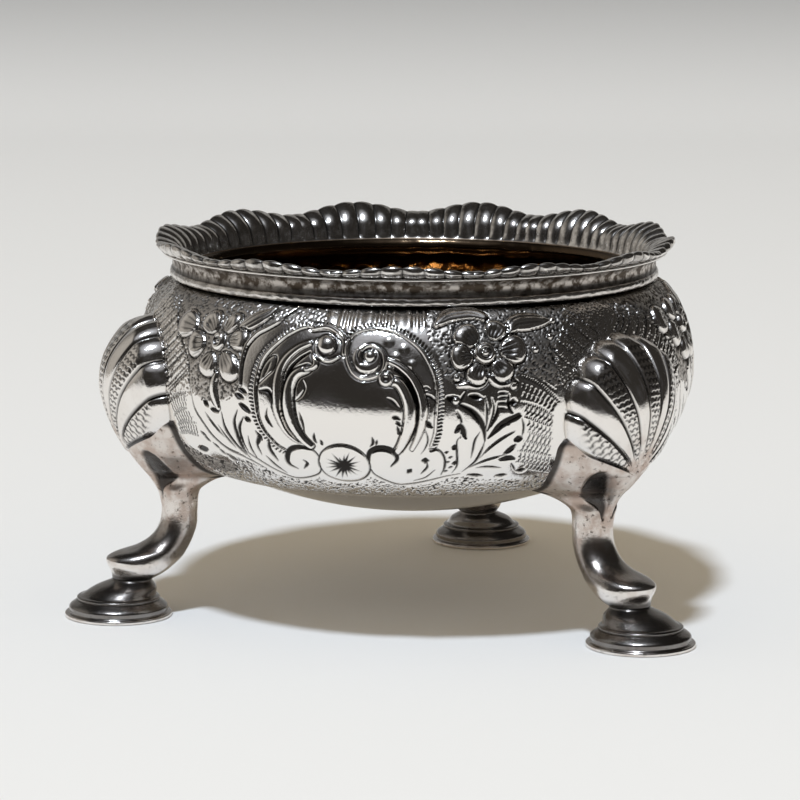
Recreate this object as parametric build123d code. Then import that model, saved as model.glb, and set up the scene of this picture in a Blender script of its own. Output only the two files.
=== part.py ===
from build123d import *
import math
import os

# A silver salt cellar: a swelling bowl on three cast legs, with a lobed and gadrooned rim.
# Millimetres. The origin lies on the bowl's axis at the table, +Z is up, and the front faces -Y.

# Bowl
wall = 0.9
dish_bottom_z = 12.2
dish_curve_radius = 56.7
edge_radius = 25.3
edge_step = 0.4
belly_radius = 34.6
belly_z = 30.0
shoulder_rise = 11.1
shoulder_tuck = 0.7
neck_radius = 29.2
lip_rise = 12.1
wall_steps = 6

# Chased relief on each panel between two legs: degrees from the panel's middle, height from the belly
scroll_radius = 0.6
border_radius = 0.4
leaf_radius = 0.5
scroll_paths = (
    ((-7.0, 7.0), (-12.4, 4.2), (-13.5, 0.8), (-12.2, -3.0), (-9.6, -4.8)),
    ((8.0, 5.5), (13.5, 3.6), (15.4, 0.0), (14.1, -3.9), (11.3, -6.0)),
)
border_paths = (
    ((-2.5, 8.7), (-13.6, 7.8), (-17.8, 4.0), (-18.6, 0.4), (-17.3, -3.3), (-13.0, -5.6)),
    ((0.7, 7.9), (8.2, 8.9), (15.3, 6.7), (19.1, 2.3), (18.9, -1.1), (16.7, -4.9)),
    ((-5.8, -7.3), (-8.8, -5.3), (-12.9, -7.0)),
    ((5.0, -6.9), (8.4, -4.8), (10.5, -6.7)),
)
leaf_paths = (
    ((25.5, -8.0), (31.0, -6.2), (35.9, -4.0)),
    ((26.2, -5.7), (30.8, -3.8), (34.7, -1.4)),
    ((23.8, -8.1), (26.3, -3.4), (23.8, 0.2)),
    ((-17.1, -9.0), (-23.0, -7.6), (-28.4, -5.1)),
    ((-19.8, -8.1), (-28.0, -5.0), (-34.5, -0.6)),
    ((-17.6, -6.4), (-20.8, -3.0), (-22.7, 0.7)),
)
volutes = ((-3.8, 6.7), (4.8, 5.6))
volute_reach = 1.4
volute_height = 0.75
medallion = (0.0, -7.1)
medallion_reach = 2.4
medallion_height = 0.4
flowers = ((28.3, 6.0), (-29.8, 6.3))
flower_reach = 1.3
flower_height = 0.85
petal_count = 6
petal_circle = 2.3
petal_reach = 1.2
petal_height = 0.7

# Collar that sleeves the joint between bowl and rim, measured out from the neck and from the lip
collar_drop = 0.9
collar_rise = 2.55
collar_inner_rise = 1.1
bead_proud = 1.4
bead_height = 1.0
waist_proud = 0.95
waist_rise = 0.9
fillet_proud = 2.1
fillet_height = 0.4
ledge_width = 0.45

# Rim: a flared casting of lobes and gadroons
rim_wall = 0.6
throat_rise = 0.9
flare_rise = 2.0
flare_run = 0.9
crest_rise = 3.9
crest_run = 2.5
brim_rise = 3.5
brim_run = 3.15
brim_edge_rise = 2.95
brim_edge_run = 2.75
lobe_count = 12
gadroons_per_lobe = 10
lobe_height = 0.55
lobe_width = 0.3
lobe_turn = 19.95
lobe_unevenness = 6.75
lobe_unevenness_turn = 284.05
gadroon_height = 0.32

# Legs, at equal angles from the back one, each placed by the centre of its foot
leg_sides = ("back", "left", "right")
back_leg_angle = 90.0
foot_spread = 3.2
foot_radius = 6.6
foot_edge_height = 0.55
foot_ring_radius = 5.1
foot_ring_z = 2.15
foot_ring_height = 0.4
foot_dome_radius = 4.7
foot_neck_radius = 2.5
foot_neck_shift = 1.8
foot_height = 4.6
foot_flare_share = 0.65
foot_dome_share = 0.58

# Shank from the foot to the ankle: height, back edge and front edge from the foot's centre, half width
shank_sections = (
    (5.4, -5.9, 0.8, 3.1),
    (6.4, -7.2, 1.3, 3.5),
    (7.2, -8.1, 1.4, 3.5),
    (7.8, -8.5, 0.3, 3.3),
    (8.5, -8.9, -2.3, 2.9),
    (9.6, -9.4, -4.2, 2.6),
    (11.2, -9.9, -5.3, 2.4),
    (13.2, -10.0, -5.6, 2.35),
)

# Wings from the ankle to the knee, the same way, with heights from the bowl's lower edge
wing_sections = (
    (-2.6, -10.2, -5.1, 2.6),
    (-0.8, -11.8, -4.0, 3.7),
    (1.0, -12.6, -2.5, 5.0),
    (2.9, -13.2, -1.2, 6.2),
    (4.8, -13.6, -0.4, 7.3),
)

# Shell on each knee: a fan of lobes standing out from the bowl, angles from upright
shell_lobes = 9
shell_fan_angle = 74.7
shell_fan_even_angle = 55.4
shell_root_rise = 2.4
shell_length = 17.0
shell_side_length = 5.0
shell_stand = 5.4
shell_lip = 1.6
shell_edge_lip = 0.9
shell_relief = 0.75
shell_tip_round = 0.9
shell_root_share = 0.04
shell_rows = 10

# Solder gaps: between soldered pieces, and round each shell
solder_gap = 0.04
shell_seat_gap = 0.1

# Places that follow from the sizes above
lip_z = belly_z + lip_rise
dish_centre_z = dish_bottom_z + dish_curve_radius
dish_rim_radius = edge_radius - edge_step
edge_z = dish_centre_z - math.sqrt(dish_curve_radius**2 - dish_rim_radius**2)
shoulder_centre = neck_radius - shoulder_tuck
foot_circle_radius = belly_radius + foot_spread
collar_top_z = lip_z + collar_rise
shell_root_z = edge_z + shell_root_rise


def body_radius(z):
    """Radius of the bowl's outside at height z."""
    if z <= belly_z:
        drop = min(1.0, (belly_z - z) / (belly_z - edge_z))
        return edge_radius + (belly_radius - edge_radius) * math.sqrt(1 - drop**2)
    rise = min(1.0, (z - belly_z) / shoulder_rise)
    return shoulder_centre + (belly_radius - shoulder_centre) * math.sqrt(1 - rise**2)


def revolved(lines, span=360.0):
    """Solid of revolution about Z of a closed outline drawn in X (radius) and Y (height), centred on +X."""
    face = Plane.XZ * make_face(Curve() + lines)
    return Rot(0, 0, -span / 2) * revolve(face, Axis.Z, span)


def dish_z(radius, curve_radius):
    """Height of the dished underside at a radius."""
    return dish_centre_z - math.sqrt(curve_radius**2 - radius**2)


def shoulder_end(inset):
    """Run of the shoulder's quarter ellipse, its rise, and the angle where it meets the neck."""
    run = belly_radius - inset - shoulder_centre
    return run, shoulder_rise - inset, math.acos((shoulder_tuck - inset) / run)


def wall_point(share, inset):
    """Radius and height on the wall, from -1 at its foot through 0 at the belly to 1 at the neck."""
    if share <= 0:
        angle = share * math.pi / 2
        swell = belly_radius - inset - edge_radius
        return (edge_radius + swell * math.cos(angle), belly_z + (belly_z - edge_z - inset) * math.sin(angle))
    run, rise, end = shoulder_end(inset)
    return (shoulder_centre + run * math.cos(share * end), belly_z + rise * math.sin(share * end))


def wall_tangent(share, inset):
    """Direction up the wall at a place on the shoulder."""
    run, rise, end = shoulder_end(inset)
    return (-run * math.sin(share * end), rise * math.cos(share * end))


def cup_outline(inset):
    """Lines from the axis up to the neck, a wall's thickness `inset` inside the outer surface."""
    curve_radius = dish_curve_radius - inset
    rim_radius = dish_rim_radius - inset
    bottom = (0, dish_centre_z - curve_radius)
    half_way = (rim_radius / 2, dish_z(rim_radius / 2, curve_radius))
    dish_rim = (rim_radius, dish_z(rim_radius, curve_radius))
    wall_points = [wall_point(k / wall_steps, inset) for k in range(-wall_steps, wall_steps + 1)]
    swell = Spline(*wall_points, tangents=[(1, 0), wall_tangent(1, inset)])
    return [ThreePointArc(bottom, half_way, dish_rim), Line(dish_rim, wall_points[0]), swell]


def filled(outline, top_z, span=360.0):
    """Solid of revolution of a cup's outline, carried straight up to a height and closed there."""
    end = outline[-1] @ 1
    rim = (end.X, top_z)
    return revolved(outline + [Line(end, rim), Line(rim, (0, top_z)), Line((0, top_z), outline[0] @ 0)], span)


def relief_place(angle, rise):
    """Point on the bowl's wall and the direction out of it there."""
    z = belly_z + rise
    step = wall / 100
    slope = (body_radius(z + step) - body_radius(z - step)) / (2 * step)
    turn = math.radians(angle)
    point = Vector(body_radius(z) * math.cos(turn), body_radius(z) * math.sin(turn), z)
    return point, Vector(math.cos(turn), math.sin(turn), -slope).normalized()


def boss(angle, rise, reach, height):
    """Ball whose cap stands out of the wall, `reach` wide to each side."""
    point, out = relief_place(angle, rise)
    radius = (reach**2 + height**2) / (2 * height)
    return Pos(*(point + out * (height - radius))) * Sphere(radius)


def moulding(path, radius):
    """Round moulding along a path on the wall."""
    line = Edge.make_spline([relief_place(angle, rise)[0] for angle, rise in path])
    return sweep(Plane(line @ 0, z_dir=line % 0) * Circle(radius), path=line)


def flower(angle, rise):
    """A heart with petals round it."""
    point, out = relief_place(angle, rise)
    lean = math.sqrt(1 - out.Z**2)
    blossom = []
    for k in range(petal_count):
        turn = 2 * math.pi * (k + 0.5) / petal_count
        petal_angle = angle + math.degrees(petal_circle * math.cos(turn) / body_radius(point.Z))
        petal_rise = rise + petal_circle * math.sin(turn) * lean
        blossom.append(boss(petal_angle, petal_rise, petal_reach, petal_height))
    return blossom + [boss(angle, rise, flower_reach, flower_height)]


def panel_relief():
    """Scrolls, borders, leaves and flowers of a panel whose middle lies on +X."""
    relief = [boss(*medallion, medallion_reach, medallion_height)]
    relief += [boss(angle, rise, volute_reach, volute_height) for angle, rise in volutes]
    for angle, rise in flowers:
        relief += flower(angle, rise)
    for paths, radius in ((scroll_paths, scroll_radius), (border_paths, border_radius), (leaf_paths, leaf_radius)):
        relief += [moulding(path, radius) for path in paths]
    return relief


def make_bowl():
    """Raised cup: one chased panel from leg to leg, repeated round the axis and sewn into one solid."""
    span = 360 / len(leg_sides)
    panel = filled(cup_outline(0), lip_z, span)
    for piece in panel_relief():
        panel = panel.fuse(piece)
    panel = largest(panel - filled(cup_outline(wall), lip_z + collar_rise))
    skin = [face for face in panel.faces() if not at_joint(face, span)]
    front = back_leg_angle + 180
    return Solid(Shell([Rot(0, 0, front + k * span) * face for k in range(len(leg_sides)) for face in skin]))


def at_joint(face, span):
    """Whether a face lies on one of the two planes that bound a panel centred on +X."""
    middle = face.center()
    return math.isclose(abs(math.degrees(math.atan2(middle.Y, middle.X))), span / 2, abs_tol=0.001)


def make_bowl_blank():
    """The filled bowl, a solder gap larger, that seats the legs and shells."""
    outline = cup_outline(-solder_gap)
    return filled(outline, (outline[-1] @ 1).Y + solder_gap)


def make_collar():
    bore = neck_radius + solder_gap
    foot_z = lip_z - collar_drop
    bead_top_z = foot_z + bead_height
    waist = (neck_radius + waist_proud, lip_z + waist_rise)
    bead_foot = (neck_radius + waist_proud, foot_z)
    bead_crown = (neck_radius + bead_proud, foot_z + bead_height / 2)
    bead_top = (neck_radius + waist_proud, bead_top_z)
    fillet_radius = neck_radius + fillet_proud
    fillet_foot = (fillet_radius, collar_top_z - fillet_height)
    fillet_top = (fillet_radius, collar_top_z)
    ledge = (fillet_radius - ledge_width, collar_top_z)
    slope_foot = (bore, lip_z + collar_inner_rise)
    lines = [
        Line((bore, foot_z), bead_foot),
        ThreePointArc(bead_foot, bead_crown, bead_top),
        Line(bead_top, waist),
        TangentArc(waist, fillet_foot, tangent=(0, 1)),
        Line(fillet_foot, fillet_top),
        Line(fillet_top, ledge),
        Line(ledge, slope_foot),
        Line(slope_foot, (bore, foot_z)),
    ]
    return revolved(lines)


def lobe_angle(turn):
    """Place round the rim, in radians, of a gadroon that lies `turn` degrees along the even pattern."""
    place = turn + lobe_turn
    uneven = lobe_unevenness * math.cos(math.radians(place - lobe_unevenness_turn))
    return math.radians(place + uneven)


def rim_rings():
    """Rings across the rim, from the seat's inner edge over the crest to the ledge.

    Each ring has its radius, height, share of the lobes' wave, share of the gadroons' relief,
    and the direction (out, up) in which the gadroons stand.
    """
    bore = neck_radius - wall
    return (
        (bore, lip_z, 0.0, 0.0, (0.0, 0.0)),
        (neck_radius - rim_wall, lip_z + throat_rise, 0.0, 0.35, (-1.0, 0.0)),
        (neck_radius - rim_wall + flare_run, lip_z + flare_rise, 0.3, 0.8, (-0.8, 0.6)),
        (neck_radius + crest_run, lip_z + crest_rise, 1.0, 1.0, (-0.2, 1.0)),
        (neck_radius + brim_run, lip_z + brim_rise, 1.0, 0.9, (1.0, 0.2)),
        (neck_radius + brim_edge_run, lip_z + brim_edge_rise, 0.5, 0.5, (1.0, -0.2)),
        (neck_radius + fillet_proud, collar_top_z, 0.0, 0.0, (0.0, 0.0)),
    )


def rim_point(ring, turn, on_ridge):
    radius, height, wave_share, relief_share, (out, up) = ring
    wave = -math.cos(math.radians(turn * lobe_count)) * wave_share
    relief = gadroon_height * relief_share if on_ridge else 0.0
    r = radius + wave * lobe_width + relief * out
    angle = lobe_angle(turn)
    return (r * math.cos(angle), r * math.sin(angle), height + wave * lobe_height + relief * up)


def ring_arcs(ring):
    """One arc for each gadroon, from groove to groove over its ridge."""
    count = lobe_count * gadroons_per_lobe
    step = 360 / count
    groove_points = [rim_point(ring, k * step, False) for k in range(count)]
    arcs = []
    for k in range(count):
        ridge = rim_point(ring, (k + 0.5) * step, True)
        arcs.append(Edge.make_three_point_arc(groove_points[k], ridge, groove_points[(k + 1) % count]))
    return arcs


def make_rim():
    """Gadrooned skin over the crest, closed by the cone and cylinder that fit inside the collar."""
    rings = [ring_arcs(ring) for ring in rim_rings()]
    faces = []
    for lower, upper in zip(rings, rings[1:]):
        faces += ruled_strips(lower, upper)
    ledge_radius = neck_radius + fillet_proud - ledge_width
    slope_foot_z = lip_z + collar_inner_rise
    seat = Edge.make_circle(neck_radius, Plane.XY.offset(lip_z))
    slope_foot = Edge.make_circle(neck_radius, Plane.XY.offset(slope_foot_z))
    ledge = Edge.make_circle(ledge_radius, Plane.XY.offset(collar_top_z))
    faces.append(Face(Wire([seat]), [Wire(rings[0])]))
    faces.append(Face.make_surface_from_curves(seat, slope_foot))
    faces.append(Face.make_surface_from_curves(slope_foot, ledge))
    faces.append(Face(Wire(rings[-1]), [Wire([ledge])]))
    return Solid(Shell(faces))


def make_foot():
    """Stepped pad under one leg, its neck set in towards the bowl."""
    def disc(z, radius, shift):
        return Plane.XY.offset(z) * Pos(foot_circle_radius - shift, 0) * Circle(radius)

    ring_top = foot_ring_z + foot_ring_height
    flare_z = (foot_edge_height + foot_ring_z) / 2
    flare_radius = foot_ring_radius + foot_flare_share * (foot_radius - foot_ring_radius)
    dome_z = (ring_top + foot_height) / 2
    dome_radius = foot_neck_radius + foot_dome_share * (foot_dome_radius - foot_neck_radius)
    base = extrude(disc(0, foot_radius, 0), foot_edge_height)
    flare = loft(
        [
            disc(foot_edge_height, foot_radius, 0),
            disc(flare_z, flare_radius, 0),
            disc(foot_ring_z, foot_ring_radius, 0),
        ]
    )
    ring = extrude(disc(foot_ring_z, foot_ring_radius, 0), foot_ring_height)
    dome = loft(
        [
            disc(ring_top, foot_dome_radius, 0),
            disc(dome_z, dome_radius, foot_neck_shift / 2),
            disc(foot_height, foot_neck_radius, foot_neck_shift),
        ]
    )
    return base + flare + ring + dome


def make_knee_cut():
    """Everything above the two sloping joints between a leg's wings and its shell."""
    reach = belly_radius
    root = shell_root_z - shell_seat_gap
    side_z = root + reach / math.tan(math.radians(shell_fan_angle))
    top = root + reach
    corners = [(0, root), (reach, side_z), (reach, top), (-reach, top), (-reach, side_z)]
    return extrude(Plane.YZ * make_face(Polyline(*corners, close=True)), 2 * foot_circle_radius)


def make_leg(blank):
    """Cast leg from the foot to the knee, its wings seated on the bowl."""
    neck_back = -foot_neck_shift - foot_neck_radius
    neck_front = -foot_neck_shift + foot_neck_radius
    seat = (foot_height, neck_back, neck_front, foot_neck_radius)
    wings = [(edge_z + rise, back, front, half) for rise, back, front, half in wing_sections]
    sections = []
    for z, back, front, half_width in [seat, *shank_sections, *wings]:
        centre = foot_circle_radius + (back + front) / 2
        sections.append(Plane.XY.offset(z) * Pos(centre, 0) * Ellipse((front - back) / 2, half_width))
    return largest(loft(sections) - blank - make_knee_cut())


def shell_point(lobe, row, on_ridge, on_bowl):
    """Point of the shell, by its place across the fan in lobes and along a lobe up to 1."""
    share = 2 * lobe / shell_lobes
    fan_degrees = shell_fan_even_angle * share + (shell_fan_angle - shell_fan_even_angle) * share**5
    fan = math.radians(fan_degrees)
    length = shell_length - (shell_length - shell_side_length) * (fan_degrees / shell_fan_angle) ** 2
    if not on_ridge:
        length -= shell_tip_round
    side = row * length * math.sin(fan)
    z = shell_root_z + row * length * math.cos(fan)
    surface = math.sqrt(body_radius(z) ** 2 - side**2)
    if on_bowl:
        return (surface + shell_seat_gap, side, z)
    centre_lift = shell_lip + (shell_stand - shell_lip) * math.sqrt(1 - row**4)
    edge_lift = shell_stand + (shell_edge_lip - shell_stand) * row
    lift = edge_lift + (centre_lift - edge_lift) * math.cos(share * math.pi / 2)
    relief = shell_relief * row if on_ridge else 0.0
    return (surface + lift + relief, side, z)


def shell_arcs(row, on_bowl):
    """Arcs across the shell's front or back, one over each lobe from groove to groove."""
    grooves = [shell_point(k - shell_lobes / 2, row, False, on_bowl) for k in range(shell_lobes + 1)]
    ridges = [shell_point(k + 0.5 - shell_lobes / 2, row, True, on_bowl) for k in range(shell_lobes)]
    return [Edge.make_three_point_arc(*arc) for arc in zip(grooves, ridges, grooves[1:])]


def ruled_strips(lower, upper):
    return [Face.make_surface_from_curves(a, b) for a, b in zip(lower, upper)]


def make_shell():
    """Fluted shell, seated on the bowl's wall and on the leg's wings."""
    shares = [shell_root_share + (1 - shell_root_share) * j / shell_rows for j in range(shell_rows + 1)]
    front = [shell_arcs(row, False) for row in shares]
    back = [shell_arcs(row, True) for row in shares]
    faces = ruled_strips(front[0], back[0]) + ruled_strips(front[-1], back[-1])
    for j in range(shell_rows):
        faces += ruled_strips(front[j], front[j + 1]) + ruled_strips(back[j], back[j + 1])
        for end, arc in ((0, 0), (1, -1)):
            front_edge = Edge.make_line(front[j][arc] @ end, front[j + 1][arc] @ end)
            back_edge = Edge.make_line(back[j][arc] @ end, back[j + 1][arc] @ end)
            faces.append(Face.make_surface_from_curves(front_edge, back_edge))
    return Solid(Shell(faces))


def largest(shape):
    return shape.solids().sort_by(SortBy.VOLUME)[-1]


def main():
    nodes = {"bowl": make_bowl(), "neck_collar": make_collar(), "gadroon_rim": make_rim()}
    leg = make_leg(make_bowl_blank())
    shell = make_shell()
    foot = make_foot()
    for k, side in enumerate(leg_sides):
        turn = Rot(0, 0, back_leg_angle + k * 360 / len(leg_sides))
        nodes[f"leg_{side}"] = turn * leg
        nodes[f"shell_{side}"] = turn * shell
        nodes[f"foot_{side}"] = turn * foot
    os.makedirs("parts", exist_ok=True)
    for name, shape in nodes.items():
        export_step(shape, f"parts/{name}.step")


main()
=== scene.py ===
"""Looks of a silver salt cellar: a chased bowl on three cast legs, with a gadrooned rim.

Sizes are in millimetres, as in the CAD part, and become metres where a mesh is made.
The origin lies on the bowl's axis at the table, +Z is up, and the front faces -Y.
"""

import math

import bpy
import numpy as np
from mathutils import Matrix, Vector


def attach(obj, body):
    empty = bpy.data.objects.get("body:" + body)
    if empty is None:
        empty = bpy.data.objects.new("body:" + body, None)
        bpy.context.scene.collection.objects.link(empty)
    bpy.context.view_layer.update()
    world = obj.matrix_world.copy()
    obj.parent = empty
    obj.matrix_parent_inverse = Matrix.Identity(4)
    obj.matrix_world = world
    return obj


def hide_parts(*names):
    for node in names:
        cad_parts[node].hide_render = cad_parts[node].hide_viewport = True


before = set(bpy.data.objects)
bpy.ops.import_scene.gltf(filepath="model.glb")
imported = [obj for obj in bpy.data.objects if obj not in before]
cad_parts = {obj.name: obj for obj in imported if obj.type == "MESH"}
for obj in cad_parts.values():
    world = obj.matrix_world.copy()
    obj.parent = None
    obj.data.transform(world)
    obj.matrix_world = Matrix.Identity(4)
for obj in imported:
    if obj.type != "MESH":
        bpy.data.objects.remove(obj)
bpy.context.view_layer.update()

MM = 0.001
SEED = 7
TINY = 1e-12

# Bowl
wall = 0.9
dish_bottom_z = 12.2
dish_curve_radius = 56.7
edge_radius = 25.3
edge_step = 0.4
belly_radius = 34.6
belly_z = 30.0
shoulder_rise = 11.1
shoulder_tuck = 0.7
neck_radius = 29.2
lip_rise = 12.1
middle_share = 0.02
inside_press = 0.9
inside_blur = 3
hammer_depth = 0.06
hammer_blur = 2
# Tarnish of the dish, the lip, the neck inside it, the floor, and the wall inside
dish_tarnish = 0.25
lip_tarnish = 0.5
neck_tarnish = 0.8
floor_tarnish = 0.3
inside_tarnish_share = 0.4
# Painted shade over the top rows inside the neck, under the rim: its darkness and its rows
neck_shade = 0.6
neck_shade_rows = 4

# Collar
collar_drop = 0.9
collar_rise = 2.55
collar_inner_rise = 1.1
bead_proud = 1.1
bead_height = 1.0
waist_proud = 0.8
waist_rise = 0.9
fillet_proud = 2.1
fillet_height = 0.4
fillet_soft = 0.1
fillet_bulge = 0.16
fillet_round = 0.12
ledge_width = 0.45
collar_gap = 0.02
bead_roughness = 0.18
cove_dents = 0.3
fillet_dents = 0.1
rough_passes = 2
dent_passes = 14
seam_tarnish = 0.85
bead_tarnish = 1.2
cove_patina = 1.15
bead_patina = 0.3
collar_matte = 0.7

# Rim
rim_wall = 0.6
throat_rise = 0.6
flare_rise = 2.2
flare_run = 0.45
bell_rise = 3.25
bell_run = 1.5
crest_rise = 3.9
crest_run = 2.5
brim_rise = 3.3
brim_run = 2.8
brim_edge_rise = 2.75
brim_edge_run = 2.4
lobe_count = 12
gadroons_per_lobe = 8
lobe_height = 0.66
front_lobe_loss = 0.48
rim_droop = 0.27
lobe_width = 0.3
lobe_turn = 19.95
lobe_unevenness = 6.75
lobe_unevenness_turn = 284.05
gadroon_height = 0.42
gadroon_spread = 0.12
gadroon_sink = 0.55
gadroon_fullness = 0.7
gadroon_least = 0.8
gadroon_gain = 0.35
gadroon_lean = 0.12
groove_share = 0.52
groove_tarnish = 1.8
# Painted shadow under the brim's rolls: its darkness, then shares of the rows where it starts and where it
# is full
under_brim_shade = 0.85
under_brim_start = 0.9
under_brim_end = 0.95
ledge_tarnish = 0.5
throat_rows = 3
rim_patina = 0.5

# Legs and feet
leg_sides = ("back", "left", "right")
back_leg_angle = 90.0
foot_spread = 3.2
foot_radius = 6.6
foot_edge_height = 0.55
foot_ring_radius = 5.1
foot_ring_z = 2.15
foot_ring_height = 0.4
foot_dome_radius = 4.7
foot_neck_radius = 2.5
foot_neck_shift = 1.8
foot_height = 4.6
foot_flare_share = 0.65
foot_dome_share = 0.58
foot_seam = 0.08
foot_neck_shade = 0.45
foot_worn_heights = (0.3, 0.7)
foot_worn_tarnish = 0.72
foot_most_tarnish = 0.9
foot_patina = 0.45

# Leg sections: height, back edge and front edge from the foot's centre, half width
shank_sections = (
    (5.4, -5.9, 0.8, 3.1),
    (6.4, -7.2, 1.3, 3.5),
    (7.2, -8.1, 1.4, 3.5),
    (7.8, -8.5, 0.3, 3.35),
    (8.5, -8.9, -2.3, 3.05),
    (9.6, -9.4, -4.2, 2.85),
    (11.2, -9.9, -5.3, 2.75),
    (13.2, -10.0, -5.6, 2.75),
)
knee_sections = (
    (-2.6, -10.3, -5.1, 2.9),
    (-0.8, -11.8, -4.0, 3.7),
    (1.0, -12.6, -2.5, 5.0),
    (2.9, -13.2, -1.2, 6.2),
    (4.8, -13.6, -0.4, 7.3),
)
# Skin of the leg on the bowl's wall: height over the bowl's edge, and half width
wing_sections = (
    (-2.6, 2.9),
    (-1.9, 3.1),
    (-1.2, 3.8),
    (-0.6, 4.8),
    (0.0, 6.2),
    (0.4, 6.8),
    (1.0, 7.2),
    (2.4, 8.1),
    (3.8, 8.5),
    (5.6, 8.9),
    (6.6, 8.9),
    (7.4, 8.3),
    (8.0, 7.2),
    (8.4, 5.5),
)
wing_plate = 0.2
wing_start = 2.6
wing_full = 0.7
wing_thinning = 10
wing_sink = 0.35
shell_seat = 0.35
shell_seat_rise = 2
# Dark lines round the wings and over the foot, and the worn heel: tarnish, and where it fades
wing_line_tarnish = 0.92
wing_line_edges = (0.93, 0.965)
wing_line_share = 0.7
heel_tarnish = 0.9
heel_rises = (0.4, 1.2)
hoof_tarnish = 0.55
hoof_low = (6.8, 7.6)
hoof_high = (9, 14)
hollow_tarnish = 0.93
leg_matte = 0.6
leg_matte_heights = (12.5, 15.5)
leg_patina_heights = (6, 9, 12, 16, 22)
leg_patina = (0.35, 0.6, 0.8, 1.0, 0.8)
# Round bulge that carries leg and shell: height over the bowl's edge, and stand over its wall
bulge_sections = (
    (2.4, 5.5),
    (4.8, 5.1),
    (8.0, 5.0),
    (11.0, 5.0),
    (14.0, 4.5),
    (16.5, 3.4),
    (18.3, 2.1),
    (19.4, 1.1),
)
bulge_half_width = 10.2
# Tarnished hollow on each side of the knee: height, and the places across where it starts and ends
hollow_sections = (
    (14.6, 0.7, 0.9),
    (16.0, 0.8, 1.7),
    (17.0, 1.2, 2.6),
    (17.8, 1.7, 3.5),
    (18.6, 2.2, 4.4),
    (19.6, 2.8, 4.9),
    (20.6, 3.4, 5.1),
    (21.2, 4.0, 4.6),
)
hollow_depth = 0.25
hollow_edge = 0.3

# Shells
shell_lobes = 9
shell_fan_angle = 66.0
shell_fan_even_angle = 55.4
shell_root_rise = 2.4
shell_length = 17.0
shell_side_length = 7.9
shell_lift = 0.1
shell_relief = 0.4
shell_tip_round = 0.9
shell_tip_roll = 1.1
shell_tip_least = 0.02
shell_root_share = 0.04
shell_sink = 0.3
shell_back_tarnish = 0.8
shell_groove_half = 0.13
shell_groove_depth = 0.22
shell_groove_start = (0.16, 0.3)
# Half-moon punch marks on every other lobe: pitch, width, size, depth, and where they fade
punch_pitch = 0.72
punch_width = 0.62
punch_radius = 0.25
punch_shift = 0.08
punch_foot = -0.2
punch_depth = 0.06
punch_tarnish = 0.85
punched_share = 0.75
punch_root_fade = (1.5, 2.5)
punch_tip_fade = (0.5, 1.2)
# Patina on the shell's root, which is rubbed off towards its tips
shell_patina = 0.1
root_patina = 0.9
root_patina_edges = (0.1, 0.45)

# Places that follow from the sizes above
lip_z = belly_z + lip_rise
dish_centre_z = dish_bottom_z + dish_curve_radius
dish_rim_radius = edge_radius - edge_step
edge_z = dish_centre_z - math.sqrt(dish_curve_radius**2 - dish_rim_radius**2)
shoulder_centre = neck_radius - shoulder_tuck
foot_circle_radius = belly_radius + foot_spread
collar_top_z = lip_z + collar_rise
shell_root_z = edge_z + shell_root_rise

# Chasing: ground, depths of cuts and punch marks, and breadths of the dark lines round raised forms
panel_count = 3
edge_softness = 0.1
wave_passes = 60
wave_height = 0.01
grain_share = 0.3
pit_levels = (0.1, 1.1)
mark_levels = (0.55, 0.9)
pit_depth = 0.11
line_depth = 0.12
tick_depth = 0.14
hatch_depth = 0.1
moon_depth = 0.08
moon_half_line = 0.09
vein_depth = 0.08
crease_depth = 0.08
crease_pitch = 0.17
ridge_line = 0.14
leaf_line = 0.18
petal_line = 0.22
boss_line = 0.16
star_line = 0.22
star_height = 0.3
ray_half_width = 0.21
ground_edge_passes = 6
ground_edge_levels = (0.35, 0.65)
ground_raggedness = 0.4
flute_edge_passes = 14
flute_unevenness = 0.3
flute_swing = 1.7
flute_matte = 0.4
roll_share = 0.6
roll_passes = 4
recess_passes = 6
recess_start = 0.08
recess_tarnish = 1.2
# Leaves: where they end, how full they are, their height at the edge, and where their veins fade
leaf_ends = (0.02, 0.985)
leaf_lead = 0.85
leaf_fullness = 0.6
leaf_edge = 0.3
leaf_swell = 0.7
vein_root = (0.05, 0.2)
vein_tip = (0.75, 0.9)
vein_reach = 0.85
vein_tarnish = 0.7
# Petals: how they widen outwards, the hollow near the heart, the creases, and the bright lip
petal_spread = 0.2
petal_hollow_place = 0.5
petal_hollow_reach = 0.62
petal_hollow_share = 0.5
petal_hollow_tarnish = 0.4
crease_fade = (-0.55, 0.2)
crease_tarnish = 0.6
petal_lip = 0.93
# Bosses: reach of the sunk middle and of the tarnish in it
boss_hollow_reach = 0.45
boss_tarnish_reach = 0.35
boss_tarnish = 0.8
# Rays of the star: their swing and length as shares, and where they are broadest
ray_swing = 0.2
ray_lengths = (0.5, 0.82)
ray_belly = 0.35
ray_gap = 0.02
# Rows of marks stop at these shares of a curve's length
row_ends = (0.01, 0.99)
# Shares of a curve's length between which a cut, a ridge's width and a ridge's height are full
cut_taper = (0, 0.35, 0.65, 1)
ridge_taper = (0, 0.45, 0.6, 1)
rise_taper = (0, 0.3, 0.7, 1)
# Distances from the wall's lower edge and from its top where the relief fades and where the painted shade
# under the collar fades, then the darkness of that painted shade and of the painted shadow line over the
# wire
low_ease = (0.9, 1.5)
high_ease = (0.1, 0.9)
high_shade = (0.1, 0.8)
wall_edge_shade = 0.75
# Wire along the wall's lower edge, and the painted shadow line over it
wire_place = 0.5
wire_width = 0.24
wire_height = 0.22
wire_shadow_place = 1.0
wire_shadow_width = 0.12

# Mesh density
panel_columns = 640
wall_rows = 280
inside_rows = 40
dish_rows = 14
coarse_share = 4
profile_samples = 400
curve_steps = 6
collar_columns = 960
bead_points = 11
cove_points = 14
gadroon_columns = 20
rim_steps = 8
foot_columns = 192
foot_steps = 5
leg_columns = 240
leg_steps = 12
hollow_steps = 6
shank_levels = 80
wing_levels = 130
shell_lobe_columns = 26
shell_rows = 150

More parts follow.
